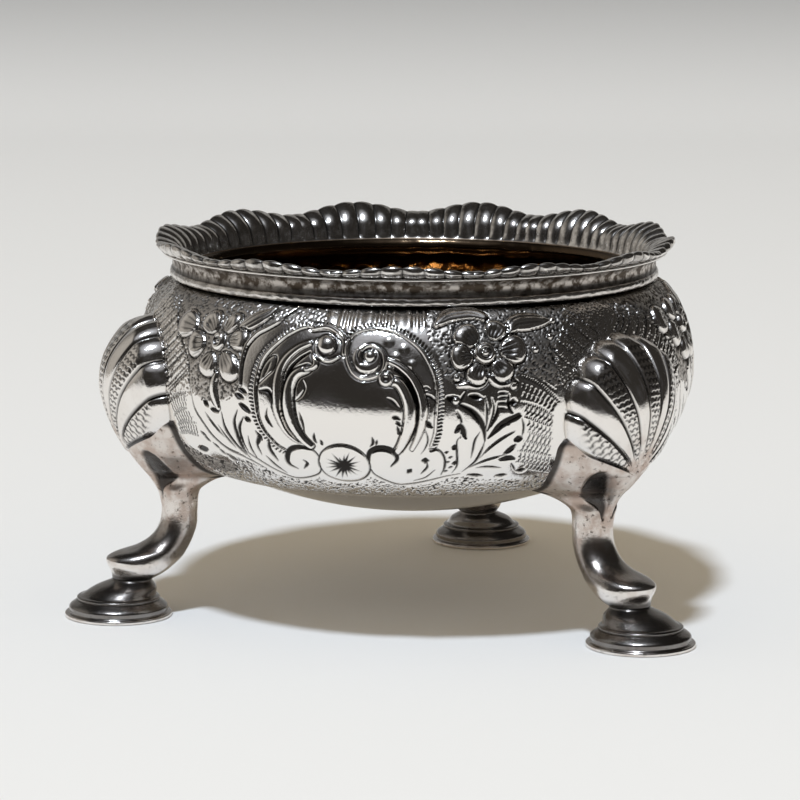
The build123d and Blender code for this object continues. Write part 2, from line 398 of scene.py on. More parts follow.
# Camera: the place it stands, the way it faces, and its focal length in pixels of the photo
photo_size = 800
camera_place = np.array([116.07, -463.8, 103.5])
camera_azimuth = math.radians(14.05)
camera_yaw = -0.0036
camera_pitch = 0.1622
camera_roll = 0.0029
focal_pixels = 3875.2
sensor_width = 36.0
clip_start = 0.01
front_panel_angle = math.radians(270.0)
# Stretch of each ray from the camera that is searched for the bowl's wall
ray_start = 400.0
ray_end = 540.0
ray_steps = 2801

# Floor, backdrop, key light and room, with directions as seen by the camera
floor_front = 127.0
floor_back = 620.0
floor_half_width = 700.0
sweep_radius = 260.0
backdrop_height = 700.0
key_direction = np.array([-0.143, -0.467, 1.0])
key_distance = 2500.0
key_size = 270.0
key_power = 51.0
key_colour = (0.8, 0.89, 1.0)
ambient_colour = (1.0, 0.84, 0.6, 1)
ambient_strength = 0.47
room_colour = (0.026, 0.024, 0.022, 1)
haze_colour = (0.08, 0.08, 0.085, 1)
pale_colour = (0.7, 0.7, 0.7, 1)
window_colour = (0.42, 0.4, 0.37, 1)
window_direction = np.array([-0.97, 0.26, 0.25])
halo_colour = (0.42, 0.43, 0.46, 1)
floor_colour = (0.80, 0.80, 0.80, 1)
# Painted shade up the backdrop: its darkest colour, and the height over which the paper greys to it
backdrop_shade_colour = (0.35, 0.35, 0.352, 1)
backdrop_shade_height = 45.0
halo_edges = (0.8, 1.0)
window_edges = (0.72, 0.97)
haze_scale = 2.6
haze_detail = 3.0
haze_levels = (0.5, 0.8)
paper_roughness = 0.9
paper_shine = 0.1

# Silver: colours, and the scale, detail and levels of its stains, specks and grain
silver_colour = (0.92, 0.89, 0.855, 1)
gilt_colour = (0.23, 0.135, 0.055, 1)
matte_colour = (0.5, 0.42, 0.35, 1)
speck_colour = (0.12, 0.09, 0.07, 1)
# Dark colour of tarnish, also used for painted shade
tarnish_and_shade_colour = (0.03, 0.027, 0.025, 1)
blotch_detail = 9.0
blotch_levels = (0.41, 0.58)
speck_scale = 1500.0
speck_detail = 3.0
speck_levels = (0.6, 0.68)
grain_scale = 2600.0
grain_detail = 4.0
grain_levels = (0.2, 0.8)
noise_roughness = 0.62
least_stain = 0.2
bare_stain = 0.03
matte_tint = 0.5
tarnish_roughness = 0.1
matte_roughness = 0.3
stain_roughness = 0.16
speck_sink = -2.0
bump_strength = 0.12
bump_distance = 0.0001


# Small helpers

def spline(points, steps):
    """Smooth curve through the points, with `steps` pieces between neighbours."""
    p = np.asarray(points, float)
    ends = np.vstack([2 * p[0] - p[1], p, 2 * p[-1] - p[-2]])
    t = np.linspace(0, 1, steps, endpoint=False)[:, None]
    pieces = []
    for a, b, c, d in zip(ends, ends[1:], ends[2:], ends[3:]):
        pieces.append(0.5 * (2 * b + (c - a) * t + (2 * a - 5 * b + 4 * c - d) * t**2
                             + (3 * b - a - 3 * c + d) * t**3))
    pieces.append(p[-1:])
    return np.vstack(pieces)


def smooth_step(x, low, high):
    t = np.clip((x - low) / (high - low), 0, 1)
    return t * t * (3 - 2 * t)


def soft_edge(distance):
    """1 inside an edge and 0 outside it, from the distance inside, with a narrow ramp between."""
    return np.clip(distance / edge_softness + 0.5, 0, 1)


def within(x, low, high):
    return (x > low) & (x < high)


def from_mark(count, pitch):
    """Distance from the middle of the nearest mark, at a place that is counted in marks."""
    return (count - np.floor(count) - 0.5) * pitch


def strokes(phase, gain, lift):
    """Row of strokes from 0 to 1, one for each full turn of the phase."""
    return np.clip(gain * np.cos(phase) + lift, 0, 1)


def blurred(field, passes):
    """Field smoothed by repeated three-cell averages, wrapping round the columns."""
    out = field.copy()
    for _ in range(passes):
        out = (out + np.roll(out, 1, 1) + np.roll(out, -1, 1)) / 3
        padded = np.vstack([out[:1], out, out[-1:]])
        out = (padded[:-2] + padded[1:-1] + padded[2:]) / 3
    return out


def full_turn(columns):
    """Angles of `columns` even steps once round."""
    return np.arange(columns) / columns * 2 * math.pi


def ring(radius, angle, height):
    """Points round the axis, with a radius and a height for each angle or for all."""
    return np.stack([radius * np.cos(angle), radius * np.sin(angle), height + 0 * angle], -1)


def turned(points, angle):
    """Points turned about Z by an angle in radians."""
    c, s = math.cos(angle), math.sin(angle)
    out = np.array(points, float)
    x, y = out[..., 0].copy(), out[..., 1].copy()
    out[..., 0] = c * x - s * y
    out[..., 1] = s * x + c * y
    return out


def mesh_object(name, points, quads, triangles=(), **attributes):
    """Smooth mesh object from points in millimetres, with one number per point for each attribute."""
    mesh = bpy.data.meshes.new(name)
    verts = np.asarray(points, np.float32).reshape(-1, 3) * MM
    quads = np.asarray(quads, np.int32).reshape(-1, 4)
    triangles = np.asarray(triangles, np.int32).reshape(-1, 3)
    corners = np.concatenate([quads.ravel(), triangles.ravel()])
    quad_starts = np.arange(len(quads)) * 4
    triangle_starts = 4 * len(quads) + np.arange(len(triangles)) * 3
    starts = np.concatenate([quad_starts, triangle_starts])
    mesh.vertices.add(len(verts))
    mesh.vertices.foreach_set("co", verts.ravel())
    mesh.loops.add(len(corners))
    mesh.loops.foreach_set("vertex_index", corners.astype(np.int32))
    mesh.polygons.add(len(starts))
    mesh.polygons.foreach_set("loop_start", starts.astype(np.int32))
    mesh.polygons.foreach_set("use_smooth", np.ones(len(starts), bool))
    mesh.update(calc_edges=True)
    for key, values in attributes.items():
        layer = mesh.attributes.new(key, "FLOAT", "POINT")
        layer.data.foreach_set("value", np.asarray(values, np.float32).ravel())
    obj = bpy.data.objects.new(name, mesh)
    bpy.context.scene.collection.objects.link(obj)
    return obj


def ring_quads(rows, columns, close_rows):
    """Quads of a grid that wraps round its columns, and round its rows where close_rows is set."""
    index = np.arange(rows * columns).reshape(rows, columns)
    lower = index if close_rows else index[:-1]
    upper = np.roll(index, -1, 0) if close_rows else index[1:]
    return np.stack([lower, np.roll(lower, -1, 1), np.roll(upper, -1, 1), upper], -1)


def capped_rings(name, grid, **attributes):
    """Closed mesh from rings of points, with a middle point in the first ring and in the last."""
    rows, columns = grid.shape[:2]
    middles = np.stack([grid[0].mean(0), grid[-1].mean(0)])
    points = np.vstack([grid.reshape(-1, 3), middles])
    first = np.arange(columns)
    last = first + (rows - 1) * columns
    low, high = rows * columns, rows * columns + 1
    triangles = np.vstack([
        np.stack([np.roll(first, -1), first, np.full(columns, low)], -1),
        np.stack([last, np.roll(last, -1), np.full(columns, high)], -1),
    ])
    for key, values in attributes.items():
        ends = [values[0].mean(), values[-1].mean()]
        attributes[key] = np.concatenate([values.ravel(), ends])
    return mesh_object(name, points, ring_quads(rows, columns, False), triangles, **attributes)


def place(piece, node, material):
    piece.data.materials.append(material)
    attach(piece, "root")
    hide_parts(node)


# The bowl's wall, and the photo's pixels on it

def body_radius(z):
    """Radius of the bowl's outside at height z."""
    z = np.asarray(z, float)
    drop = np.clip((belly_z - z) / (belly_z - edge_z), 0, 1)
    rise = np.clip((z - belly_z) / shoulder_rise, 0, 1)
    lower = edge_radius + (belly_radius - edge_radius) * np.sqrt(1 - drop**2)
    upper = shoulder_centre + (belly_radius - shoulder_centre) * np.sqrt(1 - rise**2)
    return np.where(z <= belly_z, lower, upper)


def wall_profile(inset, count):
    """Radius, height and distance up the wall of `count` even points, `inset` inside its outside."""
    reach = belly_radius - inset - shoulder_centre
    top = math.acos(np.clip((shoulder_tuck - inset) / reach, -1, 1))
    low = np.linspace(-math.pi / 2, 0, profile_samples)
    high = np.linspace(0, top, profile_samples)[1:]
    radius = np.concatenate([edge_radius + (belly_radius - inset - edge_radius) * np.cos(low),
                             shoulder_centre + reach * np.cos(high)])
    height = np.concatenate([belly_z + (belly_z - edge_z - inset) * np.sin(low),
                             belly_z + (shoulder_rise - inset) * np.sin(high)])
    run = np.concatenate([[0], np.cumsum(np.hypot(np.diff(radius), np.diff(height)))])
    even = np.linspace(0, run[-1], count)
    return np.interp(even, run, radius), np.interp(even, run, height), even


row_radius, row_z, row_place = wall_profile(0, wall_rows)
column_angle = (np.arange(panel_columns) / panel_columns - 0.5) * 2 * math.pi / panel_count


def camera_axes():
    """Right, up and forward of the camera as unit vectors."""
    forward = np.array([math.sin(camera_yaw) * math.cos(camera_pitch),
                        math.cos(camera_yaw) * math.cos(camera_pitch), -math.sin(camera_pitch)])
    level = np.array([math.cos(camera_yaw), -math.sin(camera_yaw), 0])
    above = np.cross(level, forward)
    right = math.cos(camera_roll) * level + math.sin(camera_roll) * above
    up = -math.sin(camera_roll) * level + math.cos(camera_roll) * above
    return turned(np.stack([right, up, forward]), camera_azimuth)


def wall_place(pixels):
    """Angle from the front panel's middle and distance up the wall, for pixels of the photo."""
    right, up, forward = camera_axes()
    steps = np.linspace(ray_start, ray_end, ray_steps)[:, None]
    places = []
    for x, y in pixels:
        ray = forward + ((x - photo_size / 2) * right + (photo_size / 2 - y) * up) / focal_pixels
        track = camera_place + steps * ray
        inside = np.hypot(track[:, 0], track[:, 1]) < body_radius(track[:, 2])
        hit = track[np.argmax(inside)]
        angle = math.atan2(hit[1], hit[0]) % (2 * math.pi) - front_panel_angle
        places.append((angle, np.interp(hit[2], row_z, row_place)))
    return np.array(places)


# Chasing on one of the bowl's three panels

class Chasing:
    """Height of the wall's relief, its tarnish and its matting on one panel, cell by cell.

    Motifs are placed by pixels of the photo and sized in millimetres.
    """

    def __init__(self):
        shape = (wall_rows, panel_columns)
        random = np.random.default_rng(SEED)
        self.height = np.zeros(shape)
        self.cuts = np.zeros(shape)
        self.tarnish = np.zeros(shape)
        self.matte = np.zeros(shape)
        self.fine_pits = self.pitted(random, *pit_levels)
        self.marks = self.pitted(random, *mark_levels)
        waves = blurred(random.normal(size=shape), wave_passes)
        self.height += wave_height * waves / waves.std()

    @staticmethod
    def pitted(random, low, high):
        """Random punch marks over the whole panel, from 0 to 1 between two levels of the grain."""
        grain = random.normal(size=(wall_rows, panel_columns))
        marks = blurred(grain, 1) + grain_share * grain
        return smooth_step(marks / marks.std(), low, high)

    def block_near(self, path, reach):
        """Rows and columns of the cells within reach of a path."""
        sides = []
        spans = ((row_place, path[:, 1], reach), (column_angle, path[:, 0], reach / edge_radius))
        for cells, places, margin in spans:
            near = (cells > places.min() - margin) & (cells < places.max() + margin)
            sides.append(np.nonzero(near)[0])
        return np.ix_(*sides)

    def along(self, pixels, reach):
        """Cells near a curve: distance to it, share of its length, side of it, and its length."""
        path = spline(wall_place(pixels), curve_steps)
        block = self.block_near(path, reach)
        radius = row_radius[block[0]]
        x = column_angle[block[1]] * radius
        y = row_place[block[0]] + 0 * x
        spans = np.hypot(np.diff(path[:, 0]) * belly_radius, np.diff(path[:, 1]))
        run = np.concatenate([[0], np.cumsum(spans)])
        best = np.full(x.shape, np.inf)
        share = np.zeros(x.shape)
        side = np.zeros(x.shape)
        for k in range(len(path) - 1):
            x0, x1 = path[k, 0] * radius, path[k + 1, 0] * radius
            y0, y1 = path[k, 1], path[k + 1, 1]
            dx, dy = x1 - x0, y1 - y0
            t = np.clip(((x - x0) * dx + (y - y0) * dy) / (dx**2 + dy**2 + TINY), 0, 1)
            ex, ey = x - x0 - t * dx, y - y0 - t * dy
            distance = np.hypot(ex, ey)
            closer = distance < best
            best = np.where(closer, distance, best)
            share = np.where(closer, (run[k] + t * spans[k]) / run[-1], share)
            side = np.where(closer, np.sign(dx * ey - dy * ex), side)
        return block, best, share, side, run[-1]

    def around(self, pixel, reach):
        """Cells near a point: millimetres to its right and above it."""
        spot = wall_place([pixel])
        block = self.block_near(spot, reach)
        x = (column_angle[block[1]] - spot[0, 0]) * row_radius[block[0]]
        y = row_place[block[0]] - spot[0, 1] + 0 * x
        return block, x, y

    def region(self, corners):
        """Cells inside a closed outline."""
        places = wall_place(corners)
        inside = np.zeros(self.height.shape, bool)
        x, y = column_angle[None, :], row_place[:, None]
        for (x0, y0), (x1, y1) in zip(places, np.roll(places, -1, 0)):
            crosses = (y0 > y) != (y1 > y)
            inside ^= crosses & (x < x0 + (y - y0) * (x1 - x0) / (y1 - y0 + TINY))
        return inside

    def below(self, line):
        """Cells under a line that runs across the panel."""
        places = wall_place(line)
        return row_place[:, None] < np.interp(column_angle, places[:, 0], places[:, 1])[None, :]

    def lay(self, block, inside, rise, dark):
        """Puts a form on the ground, where `inside` holds."""
        self.height[block] = np.where(inside, rise, self.height[block])
        self.tarnish[block] = np.where(inside, dark, self.tarnish[block])
        self.matte[block] = np.where(inside, 0, self.matte[block])
        self.cuts[block] = np.where(inside, 0, self.cuts[block])

    def incise(self, block, line, depth):
        """Cuts a dark line."""
        self.cuts[block] = np.maximum(self.cuts[block], line * depth)
        self.tarnish[block] = np.maximum(self.tarnish[block], line)

    def outline(self, block, past_edge, width):
        """Dark line just outside an edge, from the distance past that edge."""
        self.incise(block, soft_edge(width / 2 - np.abs(past_edge - width / 2)), line_depth)

    def cut(self, pixels, width, depth=line_depth, start=0.25, end=0.25):
        """Dark line that narrows to shares of its width at its ends."""
        block, distance, share, _, _ = self.along(pixels, width)
        half = width / 2 * np.interp(share, cut_taper, (start, 1, 1, end))
        self.incise(block, soft_edge(half - distance), depth)

    def ridge(self, pixels, width, height, start, end, line=ridge_line):
        """Raised round moulding, its width narrowed to shares of itself at the start and the end."""
        block, distance, share, _, _ = self.along(pixels, width)
        half = width / 2 * np.interp(share, ridge_taper, (start, 1, 1, end))
        across = np.clip(distance / half, 0, 1)
        fade = np.interp(share, rise_taper, (start**0.5, 1, 1, end**0.5))
        rise = height * np.sqrt(1 - across**2) * fade
        self.lay(block, (across < 1) & (rise > self.height[block]), rise, 0.0)
        self.outline(block, distance - half, line)

    def leaf(self, pixels, width, height, veins):
        """Raised leaf along a curve, with fine cuts that run lengthwise."""
        block, distance, share, side, _ = self.along(pixels, width)
        breadth = np.sin(math.pi * np.clip(share, *leaf_ends) ** leaf_lead)
        half = width / 2 * np.maximum(breadth, leaf_ends[0]) ** leaf_fullness
        across = distance / half
        rise = height * (leaf_edge + leaf_swell * np.sqrt(np.clip(1 - across**2, 0, 1)))
        strand = strokes(math.pi * (across * side + 1) * veins, 1.7, -0.9)
        strand = strand * smooth_step(share, *vein_root) * (1 - smooth_step(share, *vein_tip))
        strand = strand * (across < vein_reach)
        self.lay(block, across < 1, rise - vein_depth * strand, vein_tarnish * strand)
        self.outline(block, distance - half, leaf_line)

    def petal(self, pixel, heart, length, width, height, matte):
        """Cupped petal: a rounded lip round a hollow, with creases that point to the flower's heart."""
        block, x, y = self.around(pixel, 1.4 * max(length, width))
        spot, middle = wall_place([pixel, heart])
        radius = np.interp(spot[1], row_place, row_radius)
        away = np.array([(spot[0] - middle[0]) * radius, spot[1] - middle[1]])
        apart = np.hypot(*away)
        away /= apart
        p = x * away[0] + y * away[1]
        q = -x * away[1] + y * away[0]
        e = np.hypot(p / length, q / (width * (1 + petal_spread * np.clip(p / length, -1, 1))))
        lip = np.sqrt(np.clip(1 - e**3, 0, 1))
        inward = (p + petal_hollow_place * length) / length
        hollow = np.exp(-(np.hypot(inward, q / width) / petal_hollow_reach) ** 4)
        fan = np.arctan2(q, p + apart) / crease_pitch
        crease = strokes(2 * math.pi * fan, 1.8, -0.9) * smooth_step(-p / length, *crease_fade)
        rise = height * lip * (1 - petal_hollow_share * hollow) - crease_depth * crease
        dark = np.clip(crease_tarnish * crease + petal_hollow_tarnish * hollow, 0, 1)
        self.lay(block, e < 1, rise, dark * (e < petal_lip))
        self.matte[block] = np.where(e < 1, matte, self.matte[block])
        self.outline(block, (e - 1) * (length + width) / 2, petal_line)

    def boss(self, pixel, half_width, half_height, height, hollow=0.0, line=boss_line):
        """Round boss, with a sunk middle where `hollow` is set."""
        block, x, y = self.around(pixel, 1.6 * max(half_width, half_height))
        e = np.hypot(x / half_width, y / half_height)
        sunk = hollow * np.exp(-((e / boss_hollow_reach) ** 2))
        rise = height * np.sqrt(np.clip(1 - e**2, 0, 1)) - sunk
        dark = boss_tarnish * (hollow > 0) * np.exp(-((e / boss_tarnish_reach) ** 4))
        self.lay(block, e < 1, rise, dark)
        if line:
            self.outline(block, (e - 1) * (half_width + half_height) / 2, line)

    def swell(self, pixel, half_width, half_height, height):
        """Low bulge with no edge, added to what is there."""
        block, x, y = self.around(pixel, 1.1 * max(half_width, half_height))
        e = np.hypot(x / half_width, y / half_height)
        self.height[block] += height * np.clip(1 - e**2, 0, 1) ** 2

    def ticks(self, pixels, side_wanted, near, far, pitch):
        """Short cuts that stand across one side of a curve, between two distances from it."""
        block, distance, share, side, length = self.along(pixels, far + 0.3)
        stroke = strokes(2 * math.pi * (share * length + 0.4 * distance) / pitch, 1.6, 0.1)
        reach = soft_edge(np.minimum(distance - near, far - distance))
        self.incise(block, stroke * reach * (side == side_wanted), tick_depth)

    def hatch(self, pixels, width, pitch):
        """Row of short dark cuts across a curve."""
        block, distance, share, _, length = self.along(pixels, width)
        stroke = strokes(2 * math.pi * share * length / pitch, 1.6, 0.3)
        swell = np.sin(math.pi * np.clip(share, 0.02, 0.98)) ** 0.4
        self.incise(block, stroke * soft_edge(width / 2 * swell - distance), hatch_depth)

    def moons(self, pixels, size, pitch):
        """Row of half-moon punch marks along a curve."""
        block, distance, share, _, length = self.along(pixels, 1.2 * size)
        m = from_mark(share * length / pitch, pitch) + 0.3 * size
        bow = np.hypot(m, distance) - 0.75 * size
        arc = soft_edge(moon_half_line - np.abs(bow)) * (m > 0.25 * size) * within(share, *row_ends)
        self.incise(block, arc, moon_depth)

    def dots(self, pixels, radius, pitch):
        """Row of punched dots along a curve."""
        block, distance, share, _, length = self.along(pixels, 2 * radius)
        m = from_mark(share * length / pitch, pitch)
        dot = soft_edge(radius - np.hypot(m, distance)) * within(share, *row_ends)
        self.incise(block, 0.9 * dot, line_depth)

    def star(self, pixel, half_width, half_height, rays):
        """Oval medallion with a chased star of uneven rays."""
        self.boss(pixel, half_width, half_height, star_height, line=star_line)
        random = np.random.default_rng(SEED + 2)
        block, x, y = self.around(pixel, half_width)
        for k in range(rays):
            turn = (k + random.uniform(-ray_swing, ray_swing)) * 2 * math.pi / rays
            reach = random.uniform(*ray_lengths)
            tip = np.array([math.cos(turn) * half_width, math.sin(turn) * half_height]) * reach
            length = np.hypot(*tip)
            p = (x * tip[0] + y * tip[1]) / length
            q = np.abs(-x * tip[1] + y * tip[0]) / length
            half = ray_half_width * np.clip(1 - np.abs(p / length - ray_belly) / (1 - ray_belly), 0, 1)
            self.incise(block, soft_edge(half - q - ray_gap) * within(p, 0, length), line_depth)

    def stipple(self, mask, pits, base, dark, matte=1.0):
        """Matted ground of punch marks, where the mask holds, with an uneven edge."""
        ragged = ground_raggedness * (pits - ground_raggedness)
        edge = blurred(mask.astype(float), ground_edge_passes) + ragged
        weight = smooth_step(edge, *ground_edge_levels)
        self.height -= pit_depth * pits * weight
        self.tarnish = np.maximum(self.tarnish, weight * (base + dark * pits))
        self.matte = np.maximum(self.matte, matte * weight)

    def flutes(self, mask, pitch, depth):
        """Upright flutes of uneven width, which fade out round the mask."""
        way = column_angle * belly_radius / pitch
        wave = np.cos(2 * math.pi * (way + flute_unevenness * np.sin(flute_swing * way)))[None, :]
        weight = blurred(mask.astype(float), flute_edge_passes)
        self.height += depth * wave * weight
        self.matte = np.maximum(self.matte, flute_matte * weight)

    def finished(self):
        """Relief with rolled edges along its cuts, and tarnish that also lies in the hollows."""
        height = self.height - self.cuts - roll_share * blurred(self.cuts, roll_passes)
        recess = blurred(height, recess_passes) - height
        tarnish = np.clip(self.tarnish + recess_tarnish * np.clip(recess - recess_start, 0, 1), 0, 1)
        return height, tarnish, self.matte


def chase_panel():
    """The chased panel between two legs: flowers, leaves and a scrolled cartouche left bare."""
    panel = Chasing()
    chase_grounds(panel)
    chase_left_band(panel)
    chase_right_band(panel)
    chase_left_leaves(panel)
    chase_right_leaves(panel)
    chase_left_flower(panel)
    chase_right_flower(panel)
    chase_cartouche(panel)
    chase_scrolls(panel)
    chase_foot_of_cartouche(panel)
    return panel.finished()


def chase_grounds(panel):
    upper_left = ((180, 281), (240, 298), (300, 308), (330, 310), (326, 322), (300, 324), (276, 322),
                  (262, 328), (250, 334), (245, 350), (241, 368), (240, 386), (228, 398), (214, 402),
                  (200, 398), (190, 388), (188, 352), (180, 325))
    right_end = ((560, 304), (600, 300), (606, 340), (585, 396), (560, 386), (553, 352))
    upper_right = ((430, 306), (480, 304), (530, 308), (562, 304), (555, 352), (562, 387), (545, 381),
                   (519, 373), (512, 390), (490, 382), (470, 388), (446, 381), (440, 362), (431, 342),
                   (425, 322))
    flute_patch = ((330, 308), (430, 306), (432, 326), (404, 328), (380, 326), (352, 330), (332, 326))
    small_patch = ((441, 332), (456, 332), (457, 351), (446, 354))
    left_band = ((150, 318), (182, 286), (184, 300), (178, 322), (182, 342), (188, 361), (189, 380),
                 (190, 394), (168, 398), (158, 360))
    dark_end = ((170, 426), (186, 444), (204, 455), (228, 462), (240, 465), (236, 473), (214, 468),
                (190, 458))
    band_line = ((150, 395), (172, 428), (186, 444), (204, 455), (228, 462), (247, 462), (268, 470),
                 (282, 476), (295, 480), (307, 481), (319, 477), (330, 483), (346, 485), (362, 483),
                 (372, 477), (386, 484), (399, 487), (414, 486), (430, 484), (445, 480), (462, 477),
                 (480, 480), (500, 480), (525, 478), (548, 472))
    panel.stipple(panel.region(upper_left), panel.fine_pits, base=0.3, dark=0.6, matte=0.7)
    panel.stipple(panel.region(upper_right), panel.fine_pits, base=0.5, dark=0.5)
    panel.flutes(panel.region(flute_patch), pitch=1.25, depth=0.09)
    panel.stipple(panel.region(small_patch), panel.fine_pits, base=0.0, dark=0.6)
    panel.stipple(panel.below(band_line), panel.marks, base=0.0, dark=1.0, matte=0.1)
    panel.stipple(panel.region(left_band), panel.fine_pits, base=0.0, dark=0.12, matte=0.12)
    panel.stipple(panel.region(right_end), panel.fine_pits, base=0.1, dark=0.3, matte=0.2)
    panel.stipple(panel.region(dark_end), panel.fine_pits, base=0.35, dark=0.65)


def between(first, last, share):
    """Curve a share of the way from one curve to another with as many points."""
    return tuple((1 - share) * np.asarray(first, float) + share * np.asarray(last, float))


def chase_left_band(panel):
    first_stripe = ((151, 316), (164, 304), (182, 286))
    last_stripe = ((169, 392), (178, 382), (188, 371))
    stripes = 13
    moon_shares = (0.35, 0.7)
    broad_blot = ((200, 449), (207, 449))
    lens_rows = (
        ((169, 402), (175, 395), (186, 393)),
        ((174, 415), (178, 410), (187, 408)),
        ((178, 424), (184, 421), (196, 423)),
        ((180, 433), (188, 432), (199, 436)),
    )
    edge = ((184, 295), (178, 322), (182, 342), (188, 361), (189, 380), (190, 392))
    blots = ((203, 434), (207, 439), (216, 446), (222, 452), (231, 458))
    for k in range(stripes):
        stripe = between(first_stripe, last_stripe, k / (stripes - 1))
        panel.dots(stripe, radius=0.17, pitch=0.46)
        if k % 3 == 0:
            gap = between(first_stripe, last_stripe, (k + 0.5) / stripes)
            panel.cut(gap, width=0.2, depth=0.1, start=0.6, end=0.6)
    for row, after in zip(lens_rows, lens_rows[1:]):
        for share in moon_shares:
            panel.moons(between(row, after, share), size=0.34, pitch=0.56)
    for row in lens_rows:
        panel.hatch(row, width=0.55, pitch=0.28)
    panel.cut(edge, width=0.22, depth=0.15, start=0.5, end=0.5)
    panel.cut(broad_blot, width=1.0, depth=0.12, start=0.5, end=0.5)
    for x, y in blots:
        panel.cut(((x - 2, y - 2), (x + 3, y + 2)), width=0.42, depth=0.12, start=0.6, end=0.6)


def chase_right_band(panel):
    moon_shares = (0.38, 0.7)
    rows = (
        ((518, 375), (532, 380), (545, 388), (559, 401)),
        ((522, 402), (532, 405), (543, 409), (553, 415)),
        ((525, 416), (534, 419), (544, 423), (553, 426)),
        ((528, 432), (536, 434), (545, 437), (553, 439)),
        ((524, 441), (534, 443), (543, 445), (551, 447)),
        ((518, 451), (529, 452), (540, 454), (550, 456)),
        ((517, 462), (528, 463), (539, 465), (550, 466)),
        ((529, 469), (536, 470), (543, 471), (550, 472)),
    )
    dotted = (
        ((541, 352), (552, 362), (565, 375)),
        ((532, 362), (545, 371), (559, 382)),
        ((524, 368), (537, 377), (556, 391)),
        ((548, 345), (560, 356), (572, 368)),
        ((553, 336), (566, 347), (578, 358)),
        ((558, 327), (572, 338), (586, 350)),
        ((562, 318), (578, 330), (594, 342)),
        ((566, 310), (584, 322), (600, 334)),
    )
    for row in rows:
        panel.hatch(row, width=0.4, pitch=0.3)
    for row, after in zip(rows, rows[1:]):
        for share in moon_shares:
            panel.moons(between(row, after, share), size=0.36, pitch=0.6)
    for row in dotted:
        panel.dots(row, radius=0.14, pitch=0.36)


def chase_left_leaves(panel):
    stem = ((215, 374), (213, 390), (218, 408))
    fine_lines = (
        ((191, 392), (194, 407), (202, 421), (213, 436), (228, 449), (246, 458), (265, 468)),
        ((234, 424), (236, 435), (242, 448), (250, 458)),
        ((248, 436), (250, 446), (256, 457)),
        ((257, 436), (257, 445), (262, 455)),
        ((266, 456), (275, 465), (287, 473)),
        ((205, 412), (213, 424), (224, 437)),
        ((218, 425), (226, 437), (236, 448)),
    )
    broad_lines = (
        ((221, 412), (225, 428), (234, 442), (246, 455)),
        ((237, 410), (234, 422), (238, 438), (246, 452)),
        ((243, 417), (239, 428), (242, 441), (248, 452)),
        ((268, 438), (270, 450), (278, 461)),
        ((255, 431), (259, 438), (257, 446)),
    )
    blots = (((245, 417), (250, 421)), ((258, 434), (262, 440)), ((236, 393), (243, 398)),
             ((239, 388), (246, 393)), ((204, 400), (208, 406)), ((211, 408), (218, 412)),
             ((240, 403), (250, 412)))
    panel.ridge(stem, width=1.15, height=0.22, start=0.7, end=0.5)
    for line in fine_lines:
        panel.cut(line, width=0.3)
    for line in broad_lines:
        panel.cut(line, width=0.5, depth=0.14)
    for blot in blots:
        panel.cut(blot, width=0.5, depth=0.15, start=0.4, end=0.4)


def chase_right_leaves(panel):
    crescent = ((461, 405), (472, 411), (480, 420), (484, 430), (485, 441))
    wedge = ((519, 415), (502, 424), (488, 438))
    fine_lines = (
        ((485, 440), (482, 450), (475, 462), (462, 472)),
        ((480, 432), (475, 441), (473, 450), (471, 458)),
        ((457, 411), (461, 419), (461, 426)),
        ((461, 436), (457, 442), (457, 453), (457, 466), (452, 473)),
        ((485, 397), (487, 408), (487, 421), (486, 430)),
        ((492, 398), (494, 408), (492, 419), (487, 431)),
        ((498, 402), (497, 412), (491, 426)),
        ((480, 458), (491, 447), (503, 438), (515, 431)),
        ((522, 418), (524, 427), (522, 437)),
        ((469, 468), (484, 461), (498, 457), (507, 455)),
        ((476, 468), (487, 467), (501, 468)),
        ((512, 464), (515, 471)),
        ((498, 428), (504, 424), (509, 424)),
        ((466, 391), (458, 405)),
    )
    spots = (
        (((456, 431), (461, 427), (466, 438)), 0.7), (((453, 448), (457, 447)), 0.7),
        (((453, 464), (457, 463)), 0.6), (((515, 440), (522, 438)), 0.7), (((505, 454), (516, 445)), 0.6),
        (((500, 460), (509, 458), (515, 459)), 0.65), (((517, 471), (525, 470)), 0.75),
        (((496, 476), (506, 475)), 0.6), (((468, 475), (482, 476)), 0.55),
        (((509, 395), (509, 405), (513, 413)), 0.45), (((511, 402), (516, 402)), 0.8),
        (((448, 398), (460, 402)), 1.0), (((470, 396), (482, 398)), 0.7), (((499, 393), (508, 393)), 0.3),
        (((499, 398), (508, 397)), 0.3), (((499, 403), (508, 403)), 0.3), (((499, 408), (507, 409)), 0.3),
    )
    dashes = ((446, 453), (450, 458), (447, 463), (450, 468), (445, 472))
    for line in fine_lines:
        panel.cut(line, width=0.3)
    panel.cut(crescent, width=0.7, depth=0.12, start=0.5, end=0.3)
    panel.cut(wedge, width=0.75, depth=0.1, start=0.8, end=0.2)
    for spot, width in spots:
        panel.cut(spot, width, depth=0.15, start=0.5, end=0.35)
    for x, y in dashes:
        panel.cut(((x - 1, y), (x + 2, y - 1)), width=0.3, depth=0.1, start=0.7, end=0.7)


def chase_left_flower(panel):
    heart = (219, 341)
    outer_petal = (189, 323)
    outer_heart = (208, 331)
    leaf = ((240, 330), (258, 319), (279, 310))
    petals = (
        ((233, 323), 1.5, 1.0), ((239, 340), 1.5, 1.3), ((208, 364), 1.5, 1.4), ((213, 322), 1.55, 1.5),
        ((228, 366), 1.95, 1.45), ((197, 343), 1.45, 1.65),
    )
    panel.leaf(leaf, width=2.0, height=0.45, veins=3)
    panel.petal(outer_petal, outer_heart, length=1.85, width=1.8, height=0.5, matte=0.2)
    for pixel, length, width in petals:
        panel.petal(pixel, heart, length, width, height=0.5, matte=0.2)
    panel.boss(heart, half_width=0.95, half_height=1.2, height=0.75, hollow=0.5)
    panel.boss(heart, half_width=0.34, half_height=0.34, height=0.45)


